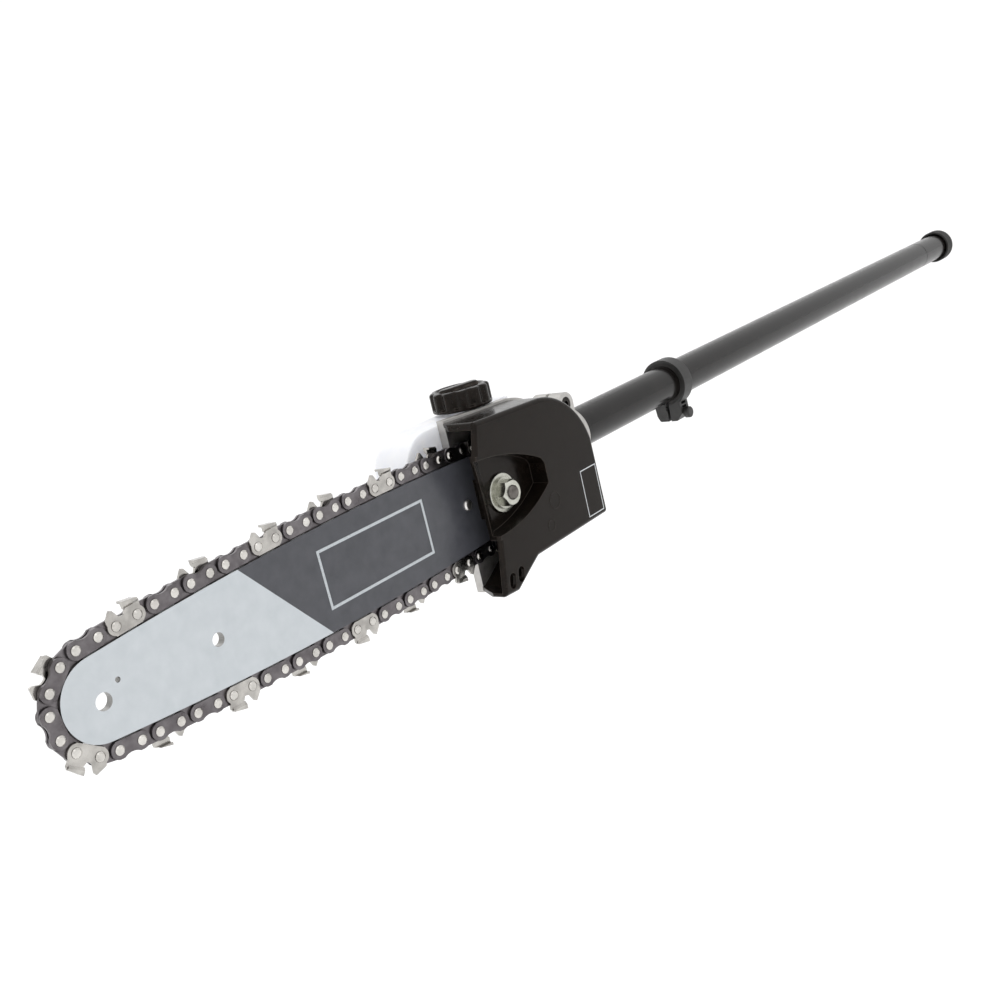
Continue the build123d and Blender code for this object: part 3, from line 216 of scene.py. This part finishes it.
def painted_bar_steel(settings):
    """Guide bar: two paints meeting on a slanted line, and bare ground steel on the rails and in the holes."""
    material, tree = new_material("painted_bar_steel")
    place = put(tree, "ShaderNodeTexCoord").outputs["Object"]
    axes = put(tree, "ShaderNodeSeparateXYZ", {"Vector": place})
    slant = put(tree, "ShaderNodeMath", {
        0: axes.outputs["Z"], 1: settings.paint_slant, 2: axes.outputs["X"]}, operation="MULTIPLY_ADD")
    paint_line = SPROCKET_X - settings.paint_line * MM
    rear = put(tree, "ShaderNodeMapRange", {"Value": slant.outputs[0], "From Min": paint_line - 0.06 * MM,
                                            "From Max": paint_line + 0.06 * MM})
    cloud = put(tree, "ShaderNodeTexNoise", {"Vector": place, "Scale": per_mm(7.0), "Detail": 6.0})
    speck = put(tree, "ShaderNodeTexNoise", {"Vector": place, "Scale": per_mm(0.35), "Detail": 2.0})
    light = ramp(tree, cloud.outputs["Fac"], ((0.25, "#bcc2c6"), (0.75, settings.bar_light_colour)))
    dark = ramp(tree, cloud.outputs["Fac"], ((0.25, settings.bar_dark_colour), (0.8, "#4b4c52")))
    paint = mix(tree, rear.outputs["Result"], light, dark)
    normal = put(tree, "ShaderNodeNewGeometry").outputs["Normal"]
    facing = put(tree, "ShaderNodeSeparateXYZ", {"Vector": normal})
    flat = put(tree, "ShaderNodeMath", {0: facing.outputs["Y"]}, operation="ABSOLUTE")
    painted = put(tree, "ShaderNodeMath", {0: flat.outputs[0], 1: 0.9}, operation="GREATER_THAN")
    colour = mix(tree, painted.outputs[0], linear("#8d8c8a"), paint)
    bare = put(tree, "ShaderNodeMath", {0: 1.0, 1: painted.outputs[0]}, operation="SUBTRACT")
    rough = put(tree, "ShaderNodeMapRange", {"Value": cloud.outputs["Fac"], "To Min": 0.27, "To Max": 0.4})
    bump = put(tree, "ShaderNodeBump", {"Height": speck.outputs["Fac"], "Strength": 0.08,
                                        "Distance": 0.05 * MM})
    shader = put(tree, "ShaderNodeBsdfPrincipled", {
        "Base Color": colour, "Metallic": bare.outputs[0], "Roughness": rough.outputs["Result"],
        "IOR": 1.52, "Normal": bump.outputs["Normal"]})
    close_material(tree, shader)
    return material


def metal(name, dark, bright, rough_low, rough_high, grain_mm, relief, edge_mm=0.15, corner_shade_mm=0.0):
    """A metal surface: its colour and roughness wander between two values, over a fine relief.

    Its last argument sets painted shade: ambient occlusion darkens the corners narrower than about that distance
    towards a dark brown.
    """
    material, tree = new_material(name)
    place = put(tree, "ShaderNodeTexCoord").outputs["Object"]
    grain = put(tree, "ShaderNodeTexNoise", {"Vector": place, "Scale": per_mm(grain_mm), "Detail": 3.0})
    cloud = put(tree, "ShaderNodeTexNoise", {"Vector": place, "Scale": per_mm(5.0), "Detail": 5.0})
    soft_edge = put(tree, "ShaderNodeBevel", {"Radius": edge_mm * MM}, samples=6)
    bump = put(tree, "ShaderNodeBump", {"Height": grain.outputs["Fac"], "Strength": relief,
                                        "Distance": 0.08 * MM, "Normal": soft_edge.outputs["Normal"]})
    colour = ramp(tree, cloud.outputs["Fac"], ((0.3, dark), (0.7, bright)))
    if corner_shade_mm:
        # Painted shade: ambient occlusion mixes the colour towards dark brown in narrow corners and between parts.
        occlusion = put(tree, "ShaderNodeAmbientOcclusion", {"Distance": corner_shade_mm * MM}, samples=8)
        unshaded = put(tree, "ShaderNodeMapRange", {"Value": occlusion.outputs["AO"], "From Min": 0.35,
                                                 "From Max": 0.8})
        colour = mix(tree, unshaded.outputs["Result"], linear("#1a1714"), colour)
    rough = put(tree, "ShaderNodeMapRange", {"Value": cloud.outputs["Fac"], "From Min": 0.3, "From Max": 0.7,
                                             "To Min": rough_low, "To Max": rough_high})
    shader = put(tree, "ShaderNodeBsdfPrincipled", {
        "Base Color": colour, "Metallic": 1.0, "Roughness": rough.outputs["Result"],
        "Normal": bump.outputs["Normal"]})
    close_material(tree, shader)
    return material


def blown_polyethylene(settings):
    """Blow-moulded natural polyethylene: milky, lets light bleed through, waxy and slightly uneven, with a faint
    painted glow.
    """
    material, tree = new_material("blown_polyethylene")
    place = put(tree, "ShaderNodeTexCoord").outputs["Object"]
    wall = put(tree, "ShaderNodeTexNoise", {"Vector": place, "Scale": per_mm(11.0), "Detail": 3.0})
    soft_edge = put(tree, "ShaderNodeBevel", {"Radius": 1.5 * MM}, samples=6)
    bump = put(tree, "ShaderNodeBump", {"Height": wall.outputs["Fac"], "Strength": 0.15,
                                        "Distance": 0.3 * MM, "Normal": soft_edge.outputs["Normal"]})
    colour = ramp(tree, wall.outputs["Fac"], ((0.3, settings.tank_colour), (0.75, "#f7f7fa")))
    # Painted light: the faint white emission lightens the whole tank, its shaded side too.
    shader = put(tree, "ShaderNodeBsdfPrincipled", {
        "Base Color": colour, "Roughness": 0.34, "IOR": 1.52, "Normal": bump.outputs["Normal"],
        "Subsurface Weight": 0.7, "Subsurface Radius": (1.0, 0.95, 0.9), "Subsurface Scale": 4 * MM,
        "Transmission Weight": 0.1, "Emission Color": linear("#f4f5fb"), "Emission Strength": 0.08})
    close_material(tree, shader)
    return material


def black_rubber(name, tint, grain_mm):
    """Moulded black rubber: matt, a little grey where it is dusty, fine pores."""
    material, tree = new_material(name)
    place = put(tree, "ShaderNodeTexCoord").outputs["Object"]
    pores = put(tree, "ShaderNodeTexNoise", {"Vector": place, "Scale": per_mm(grain_mm), "Detail": 4.0})
    dust = put(tree, "ShaderNodeTexNoise", {"Vector": place, "Scale": per_mm(8.0), "Detail": 4.0})
    soft_edge = put(tree, "ShaderNodeBevel", {"Radius": 0.4 * MM}, samples=6)
    bump = put(tree, "ShaderNodeBump", {"Height": pores.outputs["Fac"], "Strength": 0.3,
                                        "Distance": 0.08 * MM, "Normal": soft_edge.outputs["Normal"]})
    colour = ramp(tree, dust.outputs["Fac"], ((0.3, tint), (0.8, "#33312f")))
    rough = put(tree, "ShaderNodeMapRange", {"Value": dust.outputs["Fac"], "To Min": 0.48, "To Max": 0.7})
    shader = put(tree, "ShaderNodeBsdfPrincipled", {
        "Base Color": colour, "Roughness": rough.outputs["Result"], "IOR": 1.5,
        "Normal": bump.outputs["Normal"]})
    close_material(tree, shader)
    return material


def screen_ink(name, colour_hex):
    """Screen-printed ink: flat colour with the slight mottle of the mesh it was pressed through."""
    material, tree = new_material(name)
    place = put(tree, "ShaderNodeTexCoord").outputs["Object"]
    mesh_dots = put(tree, "ShaderNodeTexVoronoi", {"Vector": place, "Scale": per_mm(0.3)})
    colour = ramp(tree, mesh_dots.outputs["Distance"], ((0.0, colour_hex), (1.0, "#9aa0a4")))
    bump = put(tree, "ShaderNodeBump", {"Height": mesh_dots.outputs["Distance"], "Strength": 0.1,
                                        "Distance": 0.02 * MM})
    shader = put(tree, "ShaderNodeBsdfPrincipled", {
        "Base Color": colour, "Roughness": 0.42, "IOR": 1.5, "Normal": bump.outputs["Normal"]})
    close_material(tree, shader)
    return material


def felt(name):
    """Needled felt of the oil filter: matt, fibrous, buff."""
    material, tree = new_material(name)
    place = put(tree, "ShaderNodeTexCoord").outputs["Object"]
    fibres = put(tree, "ShaderNodeTexNoise", {"Vector": place, "Scale": per_mm(0.4), "Detail": 6.0})
    bump = put(tree, "ShaderNodeBump", {"Height": fibres.outputs["Fac"], "Strength": 0.8,
                                        "Distance": 0.2 * MM})
    colour = ramp(tree, fibres.outputs["Fac"], ((0.3, "#a89b83"), (0.75, "#cfc4ae")))
    shader = put(tree, "ShaderNodeBsdfPrincipled", {
        "Base Color": colour, "Roughness": 0.9, "Sheen Weight": 0.3, "Normal": bump.outputs["Normal"]})
    close_material(tree, shader)
    return material


# ---------------------------------------------------------------- surfaces
def skin(name, rings, loop=False, smooth_deg=35):
    """A closed surface through rings of points: an array of rings, points round the ring, 3.

    Neighbouring rings are joined by quads. With loop the last ring joins the first one;
    without it each end is closed by a fan of triangles round the end ring's centre.
    """
    rings = np.asarray(rings, float)
    count, around = rings.shape[:2]
    index = np.arange(count * around).reshape(count, around)
    following = np.roll(index, -1, axis=0) if loop else index[1:]
    low = index if loop else index[:-1]
    quads = np.stack([low, np.roll(low, -1, 1), np.roll(following, -1, 1), following], axis=-1).reshape(-1, 4)
    points = rings.reshape(-1, 3)
    faces = quads.tolist()
    if not loop:
        points = np.vstack([points, rings[0].mean(0), rings[-1].mean(0)])
        first, last = count * around, count * around + 1
        for k in range(around):
            j = (k + 1) % around
            faces.append([first, int(index[0, j]), int(index[0, k])])
            faces.append([last, int(index[-1, k]), int(index[-1, j])])
    mesh = bpy.data.meshes.new(name)
    mesh.from_pydata(points.tolist(), [], faces)
    piece = bpy.data.objects.new(name, mesh)
    bpy.context.scene.collection.objects.link(piece)
    outward(mesh)
    mesh.shade_smooth()
    mesh.set_sharp_from_angle(angle=math.radians(smooth_deg))
    return piece


def outward(mesh):
    """Turn a closed mesh's faces outwards if its signed volume is negative."""
    mesh.calc_loop_triangles()
    points = np.empty(len(mesh.vertices) * 3)
    mesh.vertices.foreach_get("co", points)
    corners = np.empty(len(mesh.loop_triangles) * 3, int)
    mesh.loop_triangles.foreach_get("vertices", corners)
    a, b, c = points.reshape(-1, 3)[corners.reshape(-1, 3)].transpose(1, 0, 2)
    if np.einsum("ij,ij->i", a, np.cross(b, c)).sum() < 0:
        mesh.flip_normals()
    mesh.update()


def finish_piece(piece, body, material, replaced=()):
    """Give a new piece its material, its body and the nodes it stands for."""
    piece.data.materials.clear()
    piece.data.materials.append(material)
    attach(piece, body)
    if replaced:
        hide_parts(*replaced)


def band_outline(name, corners, width, face_y, lift):
    """A printed band round a polygon on a face of constant y.

    At each corner the band has a square section: the mitre point at half the width outside
    and inside the line, at the face and lifted in front of it.
    """
    corners = np.asarray(corners, float)
    back = corners - np.roll(corners, 1, 0)
    ahead = np.roll(corners, -1, 0) - corners
    back /= np.linalg.norm(back, axis=1)[:, None]
    ahead /= np.linalg.norm(ahead, axis=1)[:, None]
    side = np.stack([back[:, 1] + ahead[:, 1], -back[:, 0] - ahead[:, 0]], 1)
    side /= np.linalg.norm(side, axis=1)[:, None]
    mitre = side * (width / 2 / np.abs(side[:, 0] * ahead[:, 1] - side[:, 1] * ahead[:, 0]))[:, None]
    rings = []
    for offset, y in ((mitre, face_y), (mitre, face_y - lift), (-mitre, face_y - lift), (-mitre, face_y)):
        flat = corners + offset
        rings.append(np.stack([flat[:, 0], np.full(len(flat), y), flat[:, 1]], 1))
    return skin(name, np.stack(rings, 1), loop=True, smooth_deg=20)


# ---------------------------------------------------------------- settings
class PoleSawFinish(bpy.types.PropertyGroup):
    """Colours and sizes that can be changed before the pieces are built."""

    cover_colour: bpy.props.StringProperty(
        name="Cover", description="Hex colour of the chain cover", default="#0d0b09")
    clip_colour: bpy.props.StringProperty(
        name="Clip and cap", description="Hex colour of the nylon parts", default="#1c1b1a")
    tube_colour: bpy.props.StringProperty(
        name="Tube", description="Hex colour of the tube's paint", default="#0e0c0b")
    bar_light_colour: bpy.props.StringProperty(
        name="Bar front", description="Hex colour of the light paint on the bar", default="#c6cbcf")
    bar_dark_colour: bpy.props.StringProperty(
        name="Bar rear", description="Hex colour of the dark paint on the bar", default="#3d3e43")
    tank_colour: bpy.props.StringProperty(
        name="Tank", description="Hex colour of the oil tank", default="#eceef3")
    ink_colour: bpy.props.StringProperty(
        name="Ink", description="Hex colour of the printed bands", default="#d3d8dc")
    paint_line: bpy.props.FloatProperty(
        name="Paint line", description="Distance in millimetres from the sprocket to where the paints meet",
        default=180.8, min=60, max=280)
    paint_slant: bpy.props.FloatProperty(
        name="Paint slant", description="How far the line of the paints leans, as a slope", default=0.869)
    ink_lift: bpy.props.FloatProperty(
        name="Ink thickness", description="Thickness of the printed ink in millimetres",
        default=0.05, min=0.01, max=0.3)
    mark_width: bpy.props.FloatProperty(
        name="Mark width", description="Width in millimetres of the moulded rings' ridge",
        default=0.8, min=0.2, max=2.0)
    mark_height: bpy.props.FloatProperty(
        name="Mark height", description="Height in millimetres of the moulded rings over the cover",
        default=0.22, min=0.05, max=1.0)
    cap_lobes: bpy.props.IntProperty(
        name="Cap lobes", description="Number of grip lobes round the oil cap", default=12, min=6, max=24)
    cap_groove: bpy.props.FloatProperty(
        name="Cap grooves", description="Depth in millimetres of the grooves between the lobes",
        default=1.5, min=0.2, max=2.5)
    cap_edge: bpy.props.FloatProperty(
        name="Cap edge", description="Radius in millimetres of the cap's top edge",
        default=1.8, min=0.3, max=3.0)
    thread_pitch: bpy.props.FloatProperty(
        name="Thread pitch", description="Pitch in millimetres of the bar stud's thread",
        default=1.25, min=0.5, max=2.0)


# ---------------------------------------------------------------- operators
class POLESAW_OT_finish(bpy.types.Operator):
    """Give every CAD node its material"""

    bl_idname = "polesaw.finish"
    bl_label = "Finish CAD Parts"

    def execute(self, context):
        settings = context.scene.pole_saw
        abs_black = glossy_black_abs(settings)
        nylon = satin_black_nylon(settings)
        chain_dark = metal("oiled_chain_steel", "#5e5a5c", "#7c787a", 0.26, 0.4, 0.4, 0.25, 0.3, 0.9)
        chrome = metal("chromed_cutter_steel", "#a19e9a", "#c6c3be", 0.14, 0.24, 0.6, 0.1, 0.25, 1.1)
        rivet_steel = metal("pressed_rivet_steel", "#bdbab5", "#dddad5", 0.14, 0.24, 0.8, 0.1, 0.4, 0.5)
        pin_steel = metal("polished_pin_steel", "#dcdad6", "#f0eeea", 0.3, 0.42, 0.8, 0.1, 0.6)
        black_oxide = metal("black_oxide_steel", "#2b2927", "#3d3a38", 0.3, 0.42, 0.5, 0.2)
        zinc = metal("zinc_plated_steel", "#a5a59b", "#c9c9c0", 0.2, 0.34, 0.7, 0.15)
        steel = metal("turned_steel", "#8e8c89", "#aeaca8", 0.24, 0.38, 0.5, 0.2)
        cast = metal("cast_aluminium", "#b4b2af", "#cccac7", 0.42, 0.58, 0.7, 0.7, 0.5)
        bronze = metal("sintered_bronze", "#8a6a3f", "#a9854f", 0.35, 0.5, 0.3, 0.3)
        rubber = black_rubber("black_rubber", "#191817", 0.5)
        by_slot = {
            "black_abs": abs_black, "black_nylon": nylon, "tank_pe": blown_polyethylene(settings),
            "tube_paint": powder_coated_tube(settings), "cast_alu": cast,
            "bar_steel": painted_bar_steel(settings), "chain_dark": chain_dark, "chain_chrome": chrome,
            "zinc_steel": zinc, "steel": steel, "bronze": bronze, "rubber": rubber,
            "felt": felt("needled_felt"),
        }
        slots = {p["node"]: p["material_slot"] for p in frame["record"]["subparts"]}
        special = {"chain_rivets": rivet_steel, "chain_rivets_at_sprocket": rivet_steel,
                   "tube_clamp_bolt": black_oxide, "chain_adjuster_block": pin_steel}
        for name, node in frame["nodes"].items():
            material = special.get(name, by_slot[slots[name]])
            node.data.materials.clear()
            node.data.materials.append(material)
        return {"FINISHED"}


class POLESAW_OT_bar_print(bpy.types.Operator):
    """Print a plain frame on the guide bar"""

    bl_idname = "polesaw.bar_print"
    bl_label = "Bar Print"

    def execute(self, context):
        settings = context.scene.pole_saw
        left, right = SPROCKET_X - 156 * MM, SPROCKET_X - 82.5 * MM
        top, low = 14 * MM, -14 * MM
        ink = screen_ink("light_screen_ink", settings.ink_colour)
        corners = ((left, top), (right, top), (right, low), (left, low))
        band = band_outline("bar_print_frame", corners, 1.4 * MM, BAR_FACE_Y, settings.ink_lift * MM)
        finish_piece(band, "bar_and_chain", ink)
        return {"FINISHED"}


class POLESAW_OT_cover_print(bpy.types.Operator):
    """Print a plain frame on the chain cover"""

    bl_idname = "polesaw.cover_print"
    bl_label = "Cover Print"

    def execute(self, context):
        settings = context.scene.pole_saw
        left, right = SPROCKET_X + 29.3 * MM, SPROCKET_X + 44.4 * MM
        top, low = -7.4 * MM, -34.8 * MM
        corners = ((left, top), (right, top), (right, low), (left, low))
        band = band_outline("cover_print_frame", corners, 0.6 * MM, COVER_FACE_Y, settings.ink_lift * MM)
        finish_piece(band, "side_cover", screen_ink("white_screen_ink", "#e6e8ea"))
        return {"FINISHED"}


class POLESAW_OT_cover_marks(bpy.types.Operator):
    """Raise a moulded ring and a smaller worn ring on the chain cover"""

    bl_idname = "polesaw.cover_marks"
    bl_label = "Cover Marks"

    def execute(self, context):
        settings = context.scene.pole_saw
        material = glossy_black_abs(settings)
        # Each row: name, distance behind the sprocket, height, radius R.
        marks = (("cover_mark_large", 1.1, -14.8, 4.6), ("cover_mark_small", -6.3, -26.9, 3.1))
        for name, across, up, major in marks:
            # A flattened torus: a circle of radius r moves round a circle of radius R in the face.
            # x = (R + r cos v) cos u,  z = (R + r cos v) sin u,  y = -h sin v.
            u = np.linspace(0, TAU, 96, endpoint=False)[:, None]
            v = np.linspace(0, TAU, 12, endpoint=False)[None, :]
            reach = (major + settings.mark_width / 2 * np.cos(v)) * MM
            rings = np.stack([SPROCKET_X + across * MM + reach * np.cos(u),
                              COVER_FACE_Y - settings.mark_height * MM * np.sin(v) + 0 * u,
                              up * MM + reach * np.sin(u)], -1)
            finish_piece(skin(name, rings, loop=True, smooth_deg=180), "side_cover", material)
        return {"FINISHED"}


class POLESAW_OT_cap(bpy.types.Operator):
    """Build the oil cap with its grip lobes, domed top and turning rib"""

    bl_idname = "polesaw.cap"
    bl_label = "Oil Cap"

    def execute(self, context):
        settings = context.scene.pole_saw
        rib_height, rib_half_length, rib_half_width, rib_lean = 1.5, 9.2, 3.6, math.radians(-15)
        crown_rings, facets, dish_depth, dome_rise = 52, 360, 0.9, 0.5
        low, top, outer = CAP_LOW.z / MM, CAP_HIGH.z / MM - rib_height, (CAP_HIGH.x - CAP_LOW.x) / 2 / MM
        # The cut through the cap's wall, from the bore's roof down, out, and up the grip.
        # Each row: radius, height, and how much of the grip's grooves it takes.
        bore, roof, edge = 9.35, low + 7.6, settings.cap_edge
        cut = [(bore, roof, 0), (bore, low + 0.4, 0), (bore + 0.4, low, 0), (outer - 0.6, low, 0),
               (outer - 0.18, low + 0.18, 0), (outer, low + 0.6, 0), (outer, low + 1.5, 0)]
        cut += [(outer, low + 1.5 + rise, rise / 0.9) for rise in (0.3, 0.6, 0.9)]
        cut += [(outer, z, 1.0) for z in np.linspace(low + 3.2, top - edge, 6)]
        for turn in np.linspace(0, math.pi / 2, 9)[1:]:
            cut.append((outer - edge * (1 - math.cos(turn)), top - edge * (1 - math.sin(turn)),
                        math.cos(turn / 2) ** 2))
        for radius in np.linspace(outer - edge - 0.4, 0.3, crown_rings):
            cut.append((radius, top, max(0.0, 1 - (outer - edge - radius) / 1.2) * 0.5))
        radius, height, groove = np.array(cut).T[:, :, None]
        angle = np.linspace(0, TAU, facets, endpoint=False)[None, :]
        # Grooves: a raised cosine, sharpened so that the lobes are wide and the valleys narrow.
        valley = (0.5 + 0.5 * np.cos(settings.cap_lobes * angle)) ** 1.6
        reach = radius - settings.cap_groove * groove * valley
        x, y = reach * np.cos(angle), reach * np.sin(angle)
        # The top: a shallow dish inside a rim, and a rounded rib across it.
        crown = np.arange(len(cut))[:, None] >= len(cut) - crown_rings
        dish = dome_rise * (1 - (reach / outer) ** 2)
        dish = dish - dish_depth * np.clip(outer - edge - 1.6 - reach, 0, 1)
        along = x * math.cos(rib_lean) + y * math.sin(rib_lean)
        across = y * math.cos(rib_lean) - x * math.sin(rib_lean)
        away = np.hypot(np.clip(np.abs(along) - rib_half_length, 0, None), across)
        rib = rib_height * np.clip(1 - (away / rib_half_width) ** 4, 0, 1) ** 0.5
        height = height + np.where(crown, np.maximum(dish, rib + dish * (rib < 0.2)), 0)
        rings = np.stack([CAP_X + x * MM, CAP_Y + y * MM, np.minimum(height * MM, CAP_HIGH.z) + 0 * x], -1)
        cap = skin("oil_cap_lobed", rings, smooth_deg=50)
        finish_piece(cap, "oil_cap", glossy_black_abs(settings), ("oil_cap",))
        return {"FINISHED"}


class POLESAW_OT_stud(bpy.types.Operator):
    """Build the bar stud with its rolled thread"""

    bl_idname = "polesaw.stud"
    bl_label = "Bar Stud"

    def execute(self, context):
        settings = context.scene.pole_saw
        front, back = STUD_LOW.y / MM, STUD_HIGH.y / MM
        crest, head = 4.0, (STUD_HIGH.x - STUD_LOW.x) / 2 / MM
        depth, pitch, threaded, thread_rings = 0.62, settings.thread_pitch, 13.0, 160
        collar_front, collar_rear = back - 6, back - 2
        angle = np.linspace(0, TAU, 48, endpoint=False)[None, :]
        y = np.concatenate([np.linspace(front, front + threaded, thread_rings),
                            [collar_front, collar_front, collar_rear, collar_rear, back]])[:, None]
        body = np.full_like(y, crest)
        body[thread_rings + 1:thread_rings + 3] = head
        # The thread: a triangle wave that moves one pitch along per turn, fading out at the shank.
        phase = (y / pitch - angle / TAU) % 1.0
        wave = 1 - np.abs(2 * phase - 1)
        fade = np.clip((front + threaded - y) / 2.0, 0, 1)
        radius = body - depth * wave * fade
        # The tip's chamfer, in the first millimetre.
        radius = np.where(y > front + 1, radius, np.minimum(radius, crest - 0.9 + (y - front)))
        rings = np.stack(np.broadcast_arrays(STUD_X + radius * np.cos(angle) * MM, y * MM,
                                             radius * np.sin(angle) * MM), -1)
        stud = skin("bar_stud_threaded", rings, smooth_deg=40)
        rolled = metal("rolled_stud_steel", "#4f4b48", "#7b7773", 0.28, 0.4, 0.5, 0.2, 0.1, 0.6)
        finish_piece(stud, "saw_head", rolled, ("bar_stud",))
        return {"FINISHED"}


class POLESAW_OT_stage(bpy.types.Operator):
    """Build the pale floor, the soft lights and the camera"""

    bl_idname = "polesaw.stage"
    bl_label = "Stage"

    def execute(self, context):
        scene = context.scene
        floor = self.floor()
        world = bpy.data.worlds.new("studio_white")
        world.use_nodes = True
        background = world.node_tree.nodes["Background"]
        background.inputs["Color"].default_value = linear("#ffffff")
        background.inputs["Strength"].default_value = 0.97
        scene.world = world
        self.light("key", (-1.3, -0.9, 1.4), (-0.8, 0.0, 0.0), 1.2, 2.5)
        self.light("rim", (-0.5, 1.3, 1.1), (-0.6, 0.0, 0.0), 1.0, 2.5)
        self.light("fill", (-1.9, -0.9, 0.2), (-0.95, 0.0, 0.0), 0.9, 0.4)
        camera = bpy.data.cameras.new("camera")
        camera.lens = 42.098
        camera.sensor_width = 36
        camera.clip_start = 0.02
        viewer = bpy.data.objects.new("camera", camera)
        scene.collection.objects.link(viewer)
        # Heading 48.8 degrees right of +Y seen from above, 13.8 degrees down, 13.2 degrees of roll.
        right = (0.6003782, -0.7682790, -0.2220211)
        down = (-0.3253647, 0.0189470, -0.9453988)
        ahead = (0.7305366, 0.6398347, -0.2385955)
        place = (-1.30263, -0.44286, 0.14705)
        viewer.matrix_world = Matrix([
            (right[k], -down[k], -ahead[k], place[k]) for k in range(3)
        ] + [(0, 0, 0, 1)])
        scene.camera = viewer
        scene.view_settings.view_transform = "Standard"
        return {"FINISHED"}

    def floor(self):
        """A pale sweep: flat, then curving up behind as a quarter circle, then a wall."""
        width, run, bend, wall, level = 60.0, 8.0, 3.0, 14.0, cad_bounds[0][2] - 0.25
        angles = np.linspace(0, math.pi / 2, 24)
        across = np.concatenate([[-run], run + bend * np.sin(angles), [run + bend]])
        height = np.concatenate([[0], bend * (1 - np.cos(angles)), [bend + wall]]) + level
        along = np.array([-width, width])
        grid = np.stack(np.broadcast_arrays(along[None, :], across[:, None], height[:, None]), -1)
        faces = [[2 * k, 2 * k + 1, 2 * k + 3, 2 * k + 2] for k in range(len(across) - 1)]
        mesh = bpy.data.meshes.new("floor")
        mesh.from_pydata(grid.reshape(-1, 3).tolist(), [], faces)
        mesh.shade_smooth()
        floor = bpy.data.objects.new("floor", mesh)
        bpy.context.scene.collection.objects.link(floor)
        material, tree = new_material("pale_studio_paper")
        close_material(tree, put(tree, "ShaderNodeBsdfPrincipled", {
            "Base Color": linear("#f7f7f7"), "Roughness": 0.9, "Emission Color": linear("#ffffff"),
            "Emission Strength": 0.13}))
        mesh.materials.append(material)
        return floor

    def light(self, name, place, target, size, power):
        """A square soft light that faces a point."""
        lamp = bpy.data.lights.new(name, "AREA")
        lamp.size = size
        lamp.energy = power
        holder = bpy.data.objects.new(name, lamp)
        bpy.context.scene.collection.objects.link(holder)
        facing = Vector(np.array(target) - np.array(place))
        holder.matrix_world = Matrix.Translation(place) @ facing.to_track_quat("-Z", "Y").to_matrix().to_4x4()


OPERATORS = (POLESAW_OT_finish, POLESAW_OT_bar_print, POLESAW_OT_cover_print, POLESAW_OT_cover_marks,
             POLESAW_OT_cap, POLESAW_OT_stud, POLESAW_OT_stage)


class POLESAW_PT_panel(bpy.types.Panel):
    """Lists the settings and the steps that build the saw"""

    bl_idname = "POLESAW_PT_panel"
    bl_label = "Pole Saw"
    bl_space_type = "VIEW_3D"
    bl_region_type = "UI"
    bl_category = "Pole Saw"

    def draw(self, context):
        settings = context.scene.pole_saw
        for name in settings.bl_rna.properties.keys():
            if name not in ("name", "rna_type"):
                self.layout.prop(settings, name)
        for operator in OPERATORS:
            self.layout.operator(operator.bl_idname)


CLASSES = (PoleSawFinish,) + OPERATORS + (POLESAW_PT_panel,)


def register():
    """Register the classes and the settings."""
    for cls in CLASSES:
        bpy.utils.register_class(cls)
    bpy.types.Scene.pole_saw = bpy.props.PointerProperty(type=PoleSawFinish)


def unregister():
    """Take the settings and the classes away again."""
    del bpy.types.Scene.pole_saw
    for cls in reversed(CLASSES):
        bpy.utils.unregister_class(cls)


def main():
    """Register and build every piece in order."""
    register()
    bpy.ops.polesaw.finish()
    bpy.ops.polesaw.bar_print()
    bpy.ops.polesaw.cover_print()
    bpy.ops.polesaw.cover_marks()
    bpy.ops.polesaw.cap()
    bpy.ops.polesaw.stud()
    bpy.ops.polesaw.stage()


if __name__ == "__main__":
    main()
